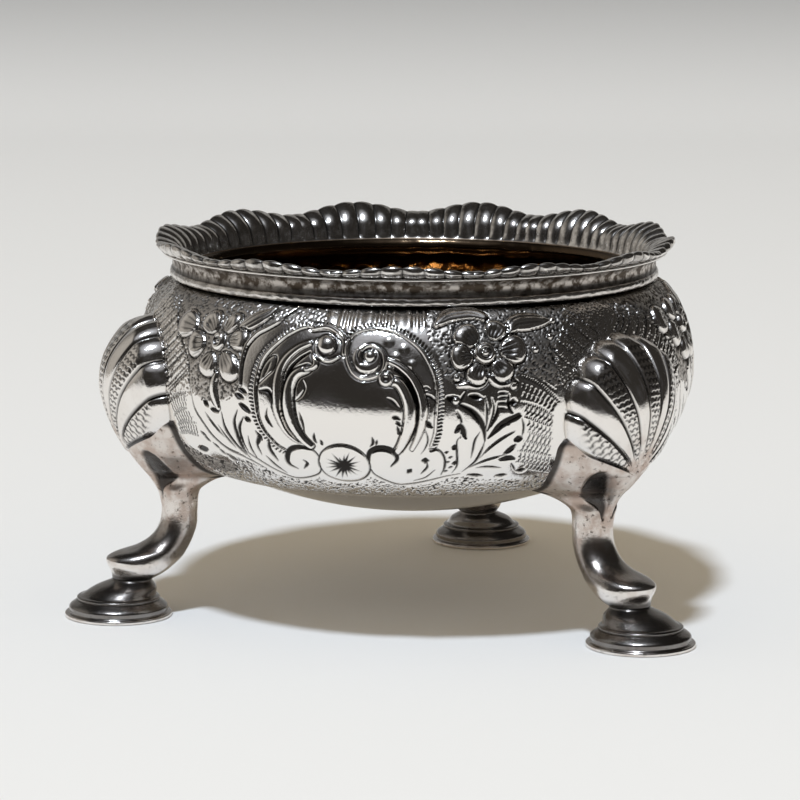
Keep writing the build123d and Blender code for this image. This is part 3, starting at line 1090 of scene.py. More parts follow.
def chase_right_flower(panel):
    heart = (485, 353)
    top_leaves = (
        (((436, 326), (448, 316), (466, 313), (480, 316), (491, 324)), 2.2),
        (((508, 334), (514, 324), (530, 321), (549, 322)), 2.5),
    )
    sepals = (((459, 386), (470, 384), (481, 383), (488, 376)),
              ((489, 376), (496, 382), (506, 382), (515, 384)))
    petals = (
        ((502, 370), 1.45, 1.35), ((477, 374), 1.3, 1.2), ((467, 336), 1.5, 1.6), ((495, 330), 1.3, 1.35),
        ((462, 357), 1.35, 1.45), ((513, 349), 1.65, 1.7),
    )
    berries = ((552, 320), (550, 336), (536, 349), (514, 386), (457, 378), (456, 401))
    for spine, width in top_leaves:
        panel.leaf(spine, width, height=0.5, veins=3)
    for spine in sepals:
        panel.ridge(spine, width=1.3, height=0.5, start=0.5, end=0.6)
    for berry in berries:
        panel.boss(berry, half_width=0.42, half_height=0.42, height=0.26)
    for pixel, length, width in petals:
        panel.petal(pixel, heart, length, width, height=0.55, matte=0.12)
    panel.boss(heart, half_width=1.3, half_height=1.3, height=0.8, hollow=0.5)
    panel.boss(heart, half_width=0.5, half_height=0.5, height=0.7)


def chase_cartouche(panel):
    """Borders of the cartouche, with their ticks, and the plain metal inside them."""
    outer_lip = ((240, 385), (241, 366), (245, 350), (250, 341), (258, 333), (268, 328), (279, 322),
                 (290, 314), (300, 308))
    left_border = ((330, 329), (319, 327), (306, 327), (293, 332), (281, 340), (268, 352), (261, 363),
                   (257, 376), (255, 390), (256, 404), (258, 417), (263, 429), (271, 439), (278, 446),
                   (285, 450))
    right_border = ((349, 341), (355, 334), (366, 330), (380, 329), (394, 332), (408, 339), (421, 350),
                    (429, 363), (435, 377), (437, 391), (437, 405), (436, 419), (435, 433), (431, 446))
    loop_leaf = ((258, 384), (261, 370), (268, 359), (275, 355), (277, 359), (274, 369), (267, 376),
                 (258, 384))
    loop_vein = ((270, 363), (264, 376))
    small_loop = ((421, 390), (426, 387), (430, 390), (424, 392))
    small_tail = ((421, 395), (430, 397), (436, 402))
    middle = (347, 396)
    dents = (((389, 341), 0.9), ((404, 349), 0.8), ((396, 357), 0.7), ((412, 364), 0.6))
    panel.swell(middle, half_width=8.6, half_height=7.4, height=0.32)
    panel.ridge(outer_lip, width=0.5, height=0.35, start=0.5, end=0.4)
    panel.ticks(left_border, side_wanted=-1, near=0.2, far=0.75, pitch=0.44)
    panel.ticks(right_border, side_wanted=1, near=0.22, far=0.78, pitch=0.44)
    panel.ridge(left_border, width=0.42, height=0.3, start=0.8, end=0.5, line=0.1)
    panel.ridge(right_border, width=0.42, height=0.3, start=0.8, end=0.5, line=0.1)
    panel.cut(loop_leaf, width=0.16, depth=0.1, start=0.8, end=0.8)
    panel.cut(loop_vein, width=0.14)
    panel.cut(small_loop, width=0.16, depth=0.1)
    panel.cut(small_tail, width=0.35, depth=0.12)
    for dent, size in dents:
        panel.swell(dent, size, size, height=0.13)


def chase_scrolls(panel):
    """The two C-scrolls with their volutes, and the cuts beside them."""
    left_lip = ((310, 343), (299, 348), (289, 356), (282, 366), (278, 379), (277, 393), (277, 407),
                (281, 421), (288, 433), (299, 442))
    left_groove = ((310, 352), (299, 359), (290, 369), (285, 383), (283, 398), (285, 412), (289, 426),
                   (299, 442))
    left_scroll = ((307, 369), (296, 374), (290, 384), (288, 398), (289, 412), (294, 426), (302, 438),
                   (311, 446))
    left_curl = ((307, 369), (314, 367), (316, 362), (313, 355))
    left_ball = (327, 345)
    left_ring = ((317, 340), (317, 350), (321, 358), (330, 361), (339, 357))
    left_volute = ((313, 330), (329, 328), (339, 333), (345, 342), (344, 354))
    right_lip = ((386, 360), (399, 366), (411, 377), (419, 392), (423, 408), (422, 423), (418, 437),
                 (412, 449))
    right_groove = ((394, 369), (406, 379), (414, 394), (417, 409), (416, 424), (411, 438), (402, 452))
    right_scroll = ((390, 381), (399, 384), (406, 395), (410, 408), (410, 421), (407, 433), (401, 446),
                    (396, 453))
    right_disc = (367, 359)
    right_eye = (370, 356)
    right_volute = ((349, 341), (347, 352), (349, 363), (354, 373), (362, 378), (373, 377), (382, 372),
                    (385, 362), (382, 352), (373, 346), (365, 348), (360, 355), (362, 362))
    right_curl = (386, 379)
    cuts = (
        (((267, 408), (266, 415), (269, 422), (273, 427)), 0.3),
        (((260, 390), (268, 391), (272, 398), (274, 404)), 0.5),
        (((299, 412), (302, 422), (304, 432)), 0.32), (((314, 433), (314, 439), (317, 443)), 0.36),
        (((320, 440), (323, 445)), 0.36), (((372, 437), (373, 443), (370, 447)), 0.38),
        (((377, 440), (376, 446)), 0.3), (((425, 429), (428, 440), (425, 449), (421, 454)), 0.22),
        (((426, 421), (432, 427)), 0.5), (((393, 416), (400, 419)), 0.4), (((396, 421), (401, 426)), 0.4),
        (((397, 426), (400, 436)), 0.4), (((303, 380), (305, 388), (301, 396), (295, 401)), 0.25),
        (((387, 398), (392, 401), (399, 408)), 0.3),
    )
    for lip in (left_lip, right_lip):
        panel.ridge(lip, width=1.15, height=0.4, start=0.6, end=0.4, line=0.12)
    for groove in (left_groove, right_groove):
        panel.cut(groove, width=0.5, depth=0.25, start=0.5, end=0.4)
    for scroll in (left_scroll, right_scroll):
        panel.ridge(scroll, width=1.45, height=0.55, start=0.7, end=0.5, line=0.2)
    panel.ridge(left_curl, width=0.6, height=0.45, start=0.8, end=0.5)
    panel.boss(left_ball, half_width=1.2, half_height=1.2, height=0.85)
    panel.ridge(left_ring, width=0.5, height=0.5, start=0.5, end=0.6)
    panel.ridge(left_volute, width=0.85, height=0.6, start=0.4, end=0.6)
    panel.boss(right_disc, half_width=1.75, half_height=1.75, height=0.5, hollow=0.35, line=0)
    panel.boss(right_eye, half_width=0.7, half_height=0.7, height=0.5)
    panel.ridge(right_volute, width=0.55, height=0.55, start=0.8, end=0.4)
    panel.boss(right_curl, half_width=0.85, half_height=0.85, height=0.55, hollow=0.3)
    for cut, width in cuts:
        panel.cut(cut, width)


def chase_foot_of_cartouche(panel):
    """Medallion, hooks and the scalloped line over the matted band."""
    medallion = (344, 465)
    left_line = ((321, 467), (319, 474), (307, 478), (295, 478), (282, 473), (268, 466), (254, 457),
                 (240, 448))
    right_line = ((371, 470), (375, 475), (386, 481), (399, 485), (414, 484), (429, 481), (445, 477),
                  (460, 474))
    right_loop = ((429, 449), (438, 450), (444, 457), (445, 467), (441, 475))
    left_hook = ((310, 449), (299, 447), (290, 450), (287, 457), (289, 464), (298, 469))
    left_hook_tail = ((303, 460), (307, 464), (304, 469))
    left_hook_edge = ((299, 446), (310, 448), (319, 457), (321, 466))
    right_hook = ((368, 464), (369, 454), (376, 449), (386, 449), (394, 453), (397, 460), (391, 467))
    spots = ((((423, 461), (428, 461)), 0.85), (((427, 463), (427, 468), (421, 474)), 0.3),
             (((408, 473), (411, 470)), 0.7), (((435, 470), (425, 478), (414, 481)), 0.18))
    for line in (left_line, right_line):
        panel.cut(line, width=0.26, depth=0.15, start=0.7, end=0.4)
    panel.cut(right_loop, width=0.3, depth=0.15, start=0.4, end=0.4)
    panel.cut(left_hook, width=0.7, depth=0.14, start=0.3, end=0.2)
    panel.cut(left_hook_tail, width=0.4, depth=0.15)
    panel.cut(left_hook_edge, width=0.24, depth=0.12, start=0.4, end=0.6)
    panel.cut(right_hook, width=0.75, depth=0.14, start=0.6, end=0.25)
    panel.star(medallion, half_width=3.0, half_height=2.8, rays=17)
    for spot, width in spots:
        panel.cut(spot, width, depth=0.12, start=0.5, end=0.4)


# Pieces

def wall_relief():
    """Relief, tarnish and matting all round the wall, with a wire along its lower edge, and painted shade
    over the wire and under the collar.
    """
    height, tarnish, matte = chase_panel()
    drop = row_place[-1] - row_place
    ease = smooth_step(row_place, *low_ease) * smooth_step(drop, *high_ease)
    wire = np.exp(-(((row_place - wire_place) / wire_width) ** 2))
    # Painted shadow line over the wire, and painted shade under the collar at the wall's top, both laid
    # into the tarnish
    wire_shadow = wall_edge_shade * np.exp(-(((row_place - wire_shadow_place) / wire_shadow_width) ** 2))
    shade = wall_edge_shade * (1 - smooth_step(drop, *high_shade))
    height = height * ease[:, None] + wire_height * wire[:, None]
    tarnish = np.maximum(tarnish * ease[:, None], np.maximum(wire_shadow, shade)[:, None])
    panel_start = front_panel_angle / (2 * math.pi) - 0.5 / panel_count
    first_column = round(panel_columns * panel_count * panel_start)
    return [np.roll(np.tile(field, panel_count), first_column, 1) for field in (height, tarnish, matte)]


def rings(radius, height, columns):
    """Rings of points, a row for each radius and height, which may vary round the row."""
    radius = np.asarray(radius).reshape(len(radius), -1)
    height = np.asarray(height).reshape(len(height), -1)
    return ring(radius, full_turn(columns), height)


def stitched(fine, coarse, fine_below):
    """Triangles between a ring of points and a ring with a whole share of as many."""
    share = len(fine) // len(coarse)
    half = share // 2
    triangles = []
    for i, c0 in enumerate(coarse):
        c1 = coarse[(i + 1) % len(coarse)]
        run = [fine[(i * share + j) % len(fine)] for j in range(share + 1)]
        for j in range(share):
            corner = c0 if j < half else c1
            triangles.append((run[j], run[j + 1], corner))
        triangles.append((run[half], c1, c0))
    return triangles if fine_below else [triangle[::-1] for triangle in triangles]


def build_bowl(material):
    height, tarnish, matte = wall_relief()
    columns = panel_columns * panel_count
    few = columns // coarse_share
    slope_r, slope_z = np.gradient(row_radius), np.gradient(row_z)
    length = np.hypot(slope_r, slope_z)
    out_r, out_z = (slope_z / length)[:, None], (-slope_r / length)[:, None]

    dish_r = np.linspace(middle_share, 1, dish_rows) * dish_rim_radius
    dish_z = dish_centre_z - np.sqrt(dish_curve_radius**2 - dish_r**2)
    dish = rings(dish_r, dish_z, few)
    wall_skin = rings(row_radius[:, None] + height * out_r, row_z[:, None] + height * out_z, columns)
    lip = rings([neck_radius], [lip_z], columns)
    outside = np.concatenate([wall_skin, lip])

    inner_r, inner_z, _ = wall_profile(wall, inside_rows)
    near_row = np.linspace(0, wall_rows - 1, inside_rows).round().astype(int)
    pressed = inside_press * blurred(height, inside_blur)[near_row][:, ::coarse_share]
    hammered = blurred(np.random.default_rng(SEED + 3).normal(size=pressed.shape), hammer_blur)
    pressed = pressed + hammer_depth * hammered / hammered.std()
    inner_r = inner_r[:, None] + pressed * out_r[near_row]
    inner_z = inner_z[:, None] + pressed * out_z[near_row]
    floor_r = np.linspace(1, middle_share, dish_rows) * (dish_rim_radius - wall)
    floor_z = dish_centre_z - np.sqrt((dish_curve_radius - wall) ** 2 - floor_r**2)
    inside = np.concatenate([
        rings([neck_radius - wall], [lip_z], few),
        rings(inner_r, inner_z, few)[::-1],
        rings(floor_r, floor_z, few),
    ])

    blocks = [dish, outside, inside]
    starts = np.cumsum([0] + [block.shape[0] * block.shape[1] for block in blocks])
    middles = np.array([[0, 0, dish_z[0]], [0, 0, floor_z[-1]]])
    points = np.concatenate([block.reshape(-1, 3) for block in blocks] + [middles])
    quads = np.concatenate([
        ring_quads(*block.shape[:2], False).reshape(-1, 4) + start for block, start in zip(blocks, starts)
    ])
    few_ring, full_ring = np.arange(few), np.arange(columns)
    dish_edge = starts[1] - few + few_ring
    floor_end = starts[3] - few + few_ring
    triangles = stitched(starts[1] + full_ring, dish_edge, False)
    triangles += stitched(starts[2] - columns + full_ring, starts[2] + few_ring, True)
    triangles += list(zip(np.roll(few_ring, -1), few_ring, np.full(few, starts[3])))
    triangles += list(zip(floor_end, np.roll(floor_end, -1), np.full(few, starts[3] + 1)))

    inside_tarnish_and_shade = inside_tarnish_share * tarnish[near_row][::-1, ::coarse_share]
    # Painted shade over the top rows inside the neck, under the rim
    inside_tarnish_and_shade[:neck_shade_rows] = np.maximum(inside_tarnish_and_shade[:neck_shade_rows], neck_shade)
    marks = np.concatenate([
        np.full(starts[1], dish_tarnish),
        tarnish.ravel(),
        np.full(columns, lip_tarnish),
        np.full(few, neck_tarnish),
        inside_tarnish_and_shade.ravel(),
        np.full(floor_r.size * few, floor_tarnish),
        [dish_tarnish, floor_tarnish],
    ])
    gilt = np.concatenate([np.zeros(starts[2]), np.ones(starts[3] - starts[2]), [0, 1]])
    matted = np.zeros(len(points))
    matted[starts[1]:starts[1] + matte.size] = matte.ravel()
    bowl = mesh_object("bowl_body", points, quads, triangles, tarnish=marks, gilt=gilt, matte=matted)
    place(bowl, "bowl", material)


def build_collar(material):
    angle = full_turn(collar_columns)
    random = np.random.default_rng(SEED + 1)
    foot_z = lip_z - collar_drop
    bead_middle = foot_z + bead_height / 2
    bore = neck_radius + collar_gap
    bead = [(neck_radius + waist_proud + (bead_proud - waist_proud) * math.cos(t),
             bead_middle + bead_height / 2 * math.sin(t))
            for t in np.linspace(-math.pi / 2, math.pi / 2, bead_points)]
    cove_top = collar_top_z - fillet_height
    cove_foot = lip_z + waist_rise
    cove = [(neck_radius + waist_proud + (fillet_proud - waist_proud) * (1 - math.cos(t * math.pi / 2)),
             cove_foot + (cove_top - cove_foot) * math.sin(t * math.pi / 2))
            for t in np.linspace(0, 1, cove_points)]
    fillet = neck_radius + fillet_proud
    profile = [
        (bore, foot_z), *bead, *cove,
        (fillet + fillet_soft, cove_top + fillet_soft),
        (fillet + fillet_bulge, collar_top_z - fillet_height / 2),
        (fillet + fillet_soft, collar_top_z - fillet_soft),
        (fillet - fillet_round, collar_top_z),
        (fillet - ledge_width, collar_top_z),
        (bore, lip_z + collar_inner_rise),
    ]
    shape = (len(profile), collar_columns)
    rough = blurred(random.uniform(-1, 1, shape), rough_passes)
    dents = blurred(random.uniform(-1, 1, shape), dent_passes)
    first_cove = 1 + len(bead)
    first_fillet = first_cove + len(cove)
    grid = []
    marks = np.zeros(shape)
    patina = np.zeros(shape)
    for k, (r, h) in enumerate(profile):
        shift = 0
        if 1 <= k < first_cove:
            shift = bead_roughness * rough[k]
            marks[k] = bead_tarnish * np.clip(-rough[k], 0, 1)
            patina[k] = bead_patina
        elif first_cove <= k < first_fillet:
            shift = cove_dents * dents[k]
            patina[k] = cove_patina
        elif first_fillet <= k < len(profile) - 2:
            shift = fillet_dents * dents[k]
        if k <= 2 or k == first_cove - 1:
            marks[k] += seam_tarnish
        grid.append(ring(r + shift, angle, h))
    collar = mesh_object("collar_moulding", np.array(grid), ring_quads(*shape, True),
                         tarnish=np.clip(marks, 0, 1), patina=patina, matte=collar_matte * patina)
    place(collar, "neck_collar", material)


def rim_rings():
    """Rings over the crest: radius, height, shares of the lobes' wave and of relief, and its direction."""
    return (
        (neck_radius - wall, lip_z, 0.0, 0.0, 0.0, 0.0),
        (neck_radius - rim_wall, lip_z + throat_rise, 0.0, 0.6, -1.0, 0.0),
        (neck_radius - rim_wall + flare_run, lip_z + flare_rise, 0.3, 0.8, -0.9, 0.3),
        (neck_radius - rim_wall + bell_run, lip_z + bell_rise, 0.7, 1.0, -0.6, 0.6),
        (neck_radius + crest_run, lip_z + crest_rise, 1.0, 0.9, 0.1, 0.6),
        (neck_radius + brim_run, lip_z + brim_rise, 0.55, 1.05, 0.95, 0.3),
        (neck_radius + brim_edge_run, lip_z + brim_edge_rise, 0.1, 0.8, 1.0, -0.1),
        (neck_radius + fillet_proud, collar_top_z, 0.0, 0.4, 1.0, 0.0),
    )


def lobe_angle(at):
    """Angle in radians of a place round the rim in degrees, as the lobes are unevenly spaced."""
    return np.radians(at + lobe_unevenness * np.cos(np.radians(at - lobe_unevenness_turn)))


def build_rim(material):
    columns = lobe_count * gadroons_per_lobe * gadroon_columns
    turn = np.arange(columns) / columns * 360
    rows = spline(rim_rings(), rim_steps)
    lobe = turn * lobe_count / 360 % 1
    wave = -np.cos(2 * math.pi * lobe)
    index = gadroons_per_lobe * (lobe + gadroon_spread * np.sin(2 * math.pi * lobe) / (2 * math.pi))
    bulge = np.abs(np.sin(math.pi * index)) ** gadroon_fullness
    groove = np.clip(1 - bulge / groove_share, 0, 1)
    size = gadroon_least + gadroon_gain * np.sin(math.pi * lobe)
    shade_edges = (under_brim_start * len(rows), under_brim_end * len(rows))
    grid = []
    marks = []
    for k, (radius, height, wave_share, relief_share, out, up) in enumerate(rows):
        fan = gadroon_lean * (lobe - 0.5) * 360 / lobe_count * k / len(rows)
        at = turn + fan + lobe_turn
        relief = gadroon_height * relief_share * size * (bulge - gadroon_sink)
        r = radius + wave * wave_share * lobe_width + relief * out
        in_front = (1 + np.cos(np.radians(at - lobe_unevenness_turn))) / 2
        swing = wave * lobe_height * (1 - front_lobe_loss * in_front)
        h = height + wave_share * (swing - rim_droop * in_front) + relief * up
        grid.append(ring(r, lobe_angle(at), h))
        # Painted shadow under the brim's rolls, laid over the tarnish in the grooves
        brim_shadow = under_brim_shade * smooth_step(k, *shade_edges)
        marks.append(np.clip(np.maximum(groove * min(1, groove_tarnish * relief_share), brim_shadow), 0, 1))
    under = ((neck_radius + fillet_proud - ledge_width, collar_top_z),
             (neck_radius, lip_z + collar_inner_rise), (neck_radius, lip_z))
    for r, h in under:
        grid.append(ring(r, lobe_angle(turn + lobe_turn), h))
        marks.append(np.full(columns, ledge_tarnish))
    grid = np.array(grid)
    throat = np.zeros(grid.shape[:2])
    throat[:throat_rows] = 1.0
    rim = mesh_object("rim_casting", grid, ring_quads(len(grid), columns, True), tarnish=np.array(marks),
                      gilt=throat, matte=throat, patina=np.full(grid.shape[:2], rim_patina))
    place(rim, "gadroon_rim", material)


def foot_profile():
    """Radius, height and shift towards the bowl, from the sole over its steps to the neck."""
    ring_top = foot_ring_z + foot_ring_height
    flare_radius = foot_ring_radius + foot_flare_share * (foot_radius - foot_ring_radius)
    dome_radius = foot_neck_radius + foot_dome_share * (foot_dome_radius - foot_neck_radius)
    return (
        (foot_radius - 0.3, 0.0, 0.0), (foot_radius - 0.06, 0.08, 0.0), (foot_radius, 0.28, 0.0),
        (foot_radius - 0.05, foot_edge_height - 0.08, 0.0), (foot_radius - 0.22, foot_edge_height, 0.0),
        (foot_radius - 0.55, foot_edge_height + 0.1, 0.0),
        (flare_radius - 0.05, (foot_edge_height + foot_ring_z) / 2, 0.0),
        (foot_ring_radius + 0.1, foot_ring_z - 0.15, 0.0), (foot_ring_radius - 0.1, foot_ring_z, 0.0),
        (foot_ring_radius, foot_ring_z + 0.12, 0.0), (foot_ring_radius - 0.03, ring_top - 0.12, 0.0),
        (foot_ring_radius - 0.25, ring_top, 0.0), (foot_dome_radius - 0.15, ring_top + 0.12, 0.1),
        (dome_radius + 0.05, (ring_top + foot_height) / 2, foot_neck_shift / 2),
        (foot_neck_radius + 0.1, foot_height - 0.25, foot_neck_shift * 0.9),
        (foot_neck_radius, foot_height, foot_neck_shift),
    )


def build_foot(side, angle, material):
    t = full_turn(foot_columns)
    rows = spline(foot_profile(), foot_steps)
    grid = np.stack([
        np.stack([foot_circle_radius - shift + r * np.cos(t), r * np.sin(t), np.maximum(h, 0) + 0 * t], -1)
        for r, h, shift in rows
    ])
    heights = rows[:, 1]
    ring_seam = np.exp(-(((heights - foot_ring_z + foot_seam) / foot_seam) ** 2))
    neck_seam = smooth_step(heights, foot_height - foot_neck_shade, foot_height)
    worn = foot_worn_tarnish * smooth_step(heights, *foot_worn_heights)
    marks = np.clip(np.maximum(ring_seam + neck_seam, worn), 0, foot_most_tarnish)
    marks = np.repeat(marks[:, None], foot_columns, 1)
    foot = capped_rings(f"pad_{side}", turned(grid, angle),
                        tarnish=marks, patina=np.full(marks.shape, foot_patina))
    place(foot, f"foot_{side}", material)


def bulge_at(z):
    """Stand of the round bulge over the bowl's wall, in its middle, at height z."""
    rise, stand = spline(bulge_sections, 8).T
    return np.interp(z, edge_z + rise, stand)


def build_leg(side, angle, material):
    """Shank that spreads into a round bulge on the bowl's wall, which runs up under the shell."""
    t = full_turn(leg_columns)
    seat_back = -foot_neck_shift - foot_neck_radius
    seat_front = -foot_neck_shift + foot_neck_radius
    seat = (foot_height, seat_back, seat_front, foot_neck_radius)
    knee = [(edge_z + rise, back, front, half) for rise, back, front, half in knee_sections]
    sections = spline([seat, *shank_sections, *knee], leg_steps)
    skin = spline([(edge_z + rise, half) for rise, half in wing_sections], leg_steps)
    hollow_rows = spline(hollow_sections, hollow_steps)
    wing_foot = edge_z - wing_start
    shank = np.linspace(foot_height, wing_foot, shank_levels)[:-1]
    levels = np.concatenate([shank, np.linspace(wing_foot, skin[-1, 0], wing_levels)])
    front_half = np.cos(t) >= 0
    heel_heights = [foot_height + rise for rise in heel_rises]
    grid = []
    marks = []
    patina = []
    matted = []
    for z in levels:
        back, front, half = [np.interp(z, sections[:, 0], sections[:, k]) for k in (1, 2, 3)]
        x = foot_circle_radius + (back + front) / 2 + (front - back) / 2 * np.cos(t)
        y = half * np.sin(t)
        share = smooth_step(z, wing_foot, edge_z + wing_full)
        if share > 0:
            wing = np.interp(z, skin[:, 0], skin[:, 1])
            wall_radius = float(body_radius(max(z, edge_z)))
            stand = foot_circle_radius + front - wall_radius
            if z > shell_root_z:
                under_shell = smooth_step(z, shell_root_z, shell_root_z + shell_seat_rise)
                stand = bulge_at(z) - shell_seat * under_shell
            skin_y = wing * np.sin(t)
            on_wall = np.sqrt(wall_radius**2 - skin_y**2)
            plate = wing_plate * (1 - np.abs(np.sin(t)) ** wing_thinning)
            bulge = (stand - wing_plate) * np.cos(t) ** 2
            skin_x = on_wall + np.where(front_half, plate + bulge, -wing_sink)
            x = (1 - share) * x + share * skin_x
            y = (1 - share) * y + share * skin_y
        near, far = [np.interp(z, hollow_rows[:, 0], hollow_rows[:, k]) for k in (1, 2)]
        inside = np.minimum(np.abs(y) - near, far - np.abs(y))
        ends = min(z - hollow_rows[0, 0], hollow_rows[-1, 0] - z)
        hollow = smooth_step(np.minimum(inside, ends), -hollow_edge / 2, hollow_edge / 2) * front_half
        x = x - hollow_depth * hollow
        wing_edge = smooth_step(np.abs(np.sin(t)), *wing_line_edges)
        wing_line = wing_line_tarnish * wing_edge * (share > wing_line_share)
        heel = heel_tarnish * (1 - smooth_step(z, *heel_heights))
        hoof = hoof_tarnish * (1 - smooth_step(z, *hoof_high)) * smooth_step(z, *hoof_low)
        grid.append(np.stack([x, y, z + 0 * t], -1))
        marks.append(np.maximum(np.maximum(hollow_tarnish * hollow, wing_line), max(heel, hoof)))
        patina.append(np.full(leg_columns, np.interp(z, leg_patina_heights, leg_patina)))
        matted.append(leg_matte * smooth_step(z, *leg_matte_heights) * (1 - hollow))
    leg = capped_rings(f"cabriole_{side}", turned(np.array(grid), angle),
                       tarnish=np.array(marks), patina=np.array(patina), matte=np.array(matted))
    place(leg, f"leg_{side}", material)


def build_shell(side, angle, material):
    columns = shell_lobes * shell_lobe_columns + 1
    rows = shell_rows
    lobe = np.linspace(-shell_lobes / 2, shell_lobes / 2, columns)[None, :]
    row = np.linspace(shell_root_share, 1, rows)[:, None]
    share = 2 * lobe / shell_lobes
    fan_degrees = shell_fan_even_angle * share + (shell_fan_angle - shell_fan_even_angle) * share**5
    fan = np.radians(fan_degrees)
    lobe_fan = math.radians(2 * shell_fan_even_angle / shell_lobes)
    in_lobe = (lobe + shell_lobes / 2) % 1
    number = np.minimum(np.floor(lobe + shell_lobes / 2), shell_lobes - 1)
    across = np.abs(2 * in_lobe - 1)
    arch = np.sqrt(np.clip(1 - across**2, 0, 1))
    crown = 1 - across**3
    length = shell_length - (shell_length - shell_side_length) * (fan_degrees / shell_fan_angle) ** 2
    length = length - shell_tip_round * (1 - arch)
    run = row * length
    y = run * np.sin(fan)
    z = shell_root_z + run * np.cos(fan)
    surface = np.sqrt(body_radius(z) ** 2 - y**2)
    lift = shell_lift + bulge_at(z) * np.clip(1 - (y / bulge_half_width) ** 2, 0, 1)
    relief = shell_relief * row * crown
    past_roll = np.clip(run - (length - shell_tip_roll), 0, None) / shell_tip_roll
    tip = np.sqrt(np.clip(1 - past_roll**2, shell_tip_least, 1))
    punched = number % 2 == 0
    step = np.floor(run / punch_pitch)
    f = from_mark(run / punch_pitch, punch_pitch)
    side_way = (in_lobe - 0.5) * run * lobe_fan
    m = from_mark(side_way / punch_width + 0.5 * (step % 2), punch_width)
    bow = np.hypot(m, f + punch_shift) - punch_radius
    moon = soft_edge(moon_half_line - np.abs(bow)) * (f > punch_foot) * punched * (across < punched_share)
    moon = moon * smooth_step(run, *punch_root_fade) * smooth_step(length - run, *punch_tip_fade)
    groove = soft_edge(shell_groove_half - (1 - across) * run * lobe_fan / 2)
    groove = groove * smooth_step(row, *shell_groove_start)
    skin = surface + (lift + relief) * tip - punch_depth * moon - shell_groove_depth * groove
    front = np.stack([skin, y, z], -1)
    back = np.stack([surface - shell_sink, y, z], -1)
    points = np.concatenate([front.reshape(-1, 3), back.reshape(-1, 3)])
    count = rows * columns
    index = np.arange(count).reshape(rows, columns)
    front_quads = np.stack([index[:-1, :-1], index[:-1, 1:], index[1:, 1:], index[1:, :-1]], -1)
    front_quads = front_quads.reshape(-1, 4)
    back_quads = front_quads[:, [0, 3, 2, 1]] + count
    edge = np.concatenate([index[0, :-1], index[:-1, -1], index[-1, :0:-1], index[:0:-1, 0]])
    after = np.roll(edge, -1)
    side_quads = np.stack([edge, edge + count, after + count, after], -1)
    quads = np.concatenate([front_quads, back_quads, side_quads])
    marks = np.clip(punch_tarnish * moon + groove, 0, 1)
    marks = np.concatenate([marks.ravel(), np.full(count, shell_back_tarnish)])
    rubbed = root_patina * (1 - smooth_step(row + 0 * in_lobe, *root_patina_edges)) + shell_patina
    patina = np.concatenate([rubbed.ravel(), np.zeros(count)])
    shell = mesh_object(f"fan_{side}", turned(points, angle), quads, tarnish=marks, patina=patina)
    place(shell, f"shell_{side}", material)


# Materials

def node_of(tree, kind, **values):
    node = tree.nodes.new(kind)
    for key, value in values.items():
        if key in node.inputs:
            node.inputs[key].default_value = value
        else:
            setattr(node, key, value)
    return node


def mixed(tree, share, first, second):
    """Colour between two, each a colour or a node's output, by an output that runs from 0 to 1."""
    mix = node_of(tree, "ShaderNodeMix", data_type="RGBA")
    tree.links.new(share, mix.inputs["Factor"])
    for socket, value in ((mix.inputs["A"], first), (mix.inputs["B"], second)):
        if isinstance(value, tuple):
            socket.default_value = value
        else:
            tree.links.new(value, socket)
    return mix.outputs["Result"]


def weighed(tree, value, weight, start):
    """Output times a weight, plus a start, each a number or an output."""
    node = node_of(tree, "ShaderNodeMath", operation="MULTIPLY_ADD")
    tree.links.new(value, node.inputs[0])
    for socket, part in ((node.inputs[1], weight), (node.inputs[2], start)):
        if isinstance(part, (int, float)):
            socket.default_value = part
        else:
            tree.links.new(part, socket)
    return node.outputs["Value"]


def ranged(tree, value, low, high, kind="LINEAR"):
    """Output that runs from 0 to 1 where another runs between two levels."""
    span = node_of(tree, "ShaderNodeMapRange", interpolation_type=kind)
    span.inputs["From Min"].default_value = low
    span.inputs["From Max"].default_value = high
    tree.links.new(value, span.inputs["Value"])
    return span.outputs["Result"]


def noise_between(tree, place_of, scale, detail, low, high):
    """Noise that runs from 0 to 1 between two of its levels."""
    noise = node_of(tree, "ShaderNodeTexNoise", Scale=scale, Detail=detail, Roughness=noise_roughness)
    tree.links.new(place_of, noise.inputs["Vector"])
    return ranged(tree, noise.outputs["Fac"], low, high)


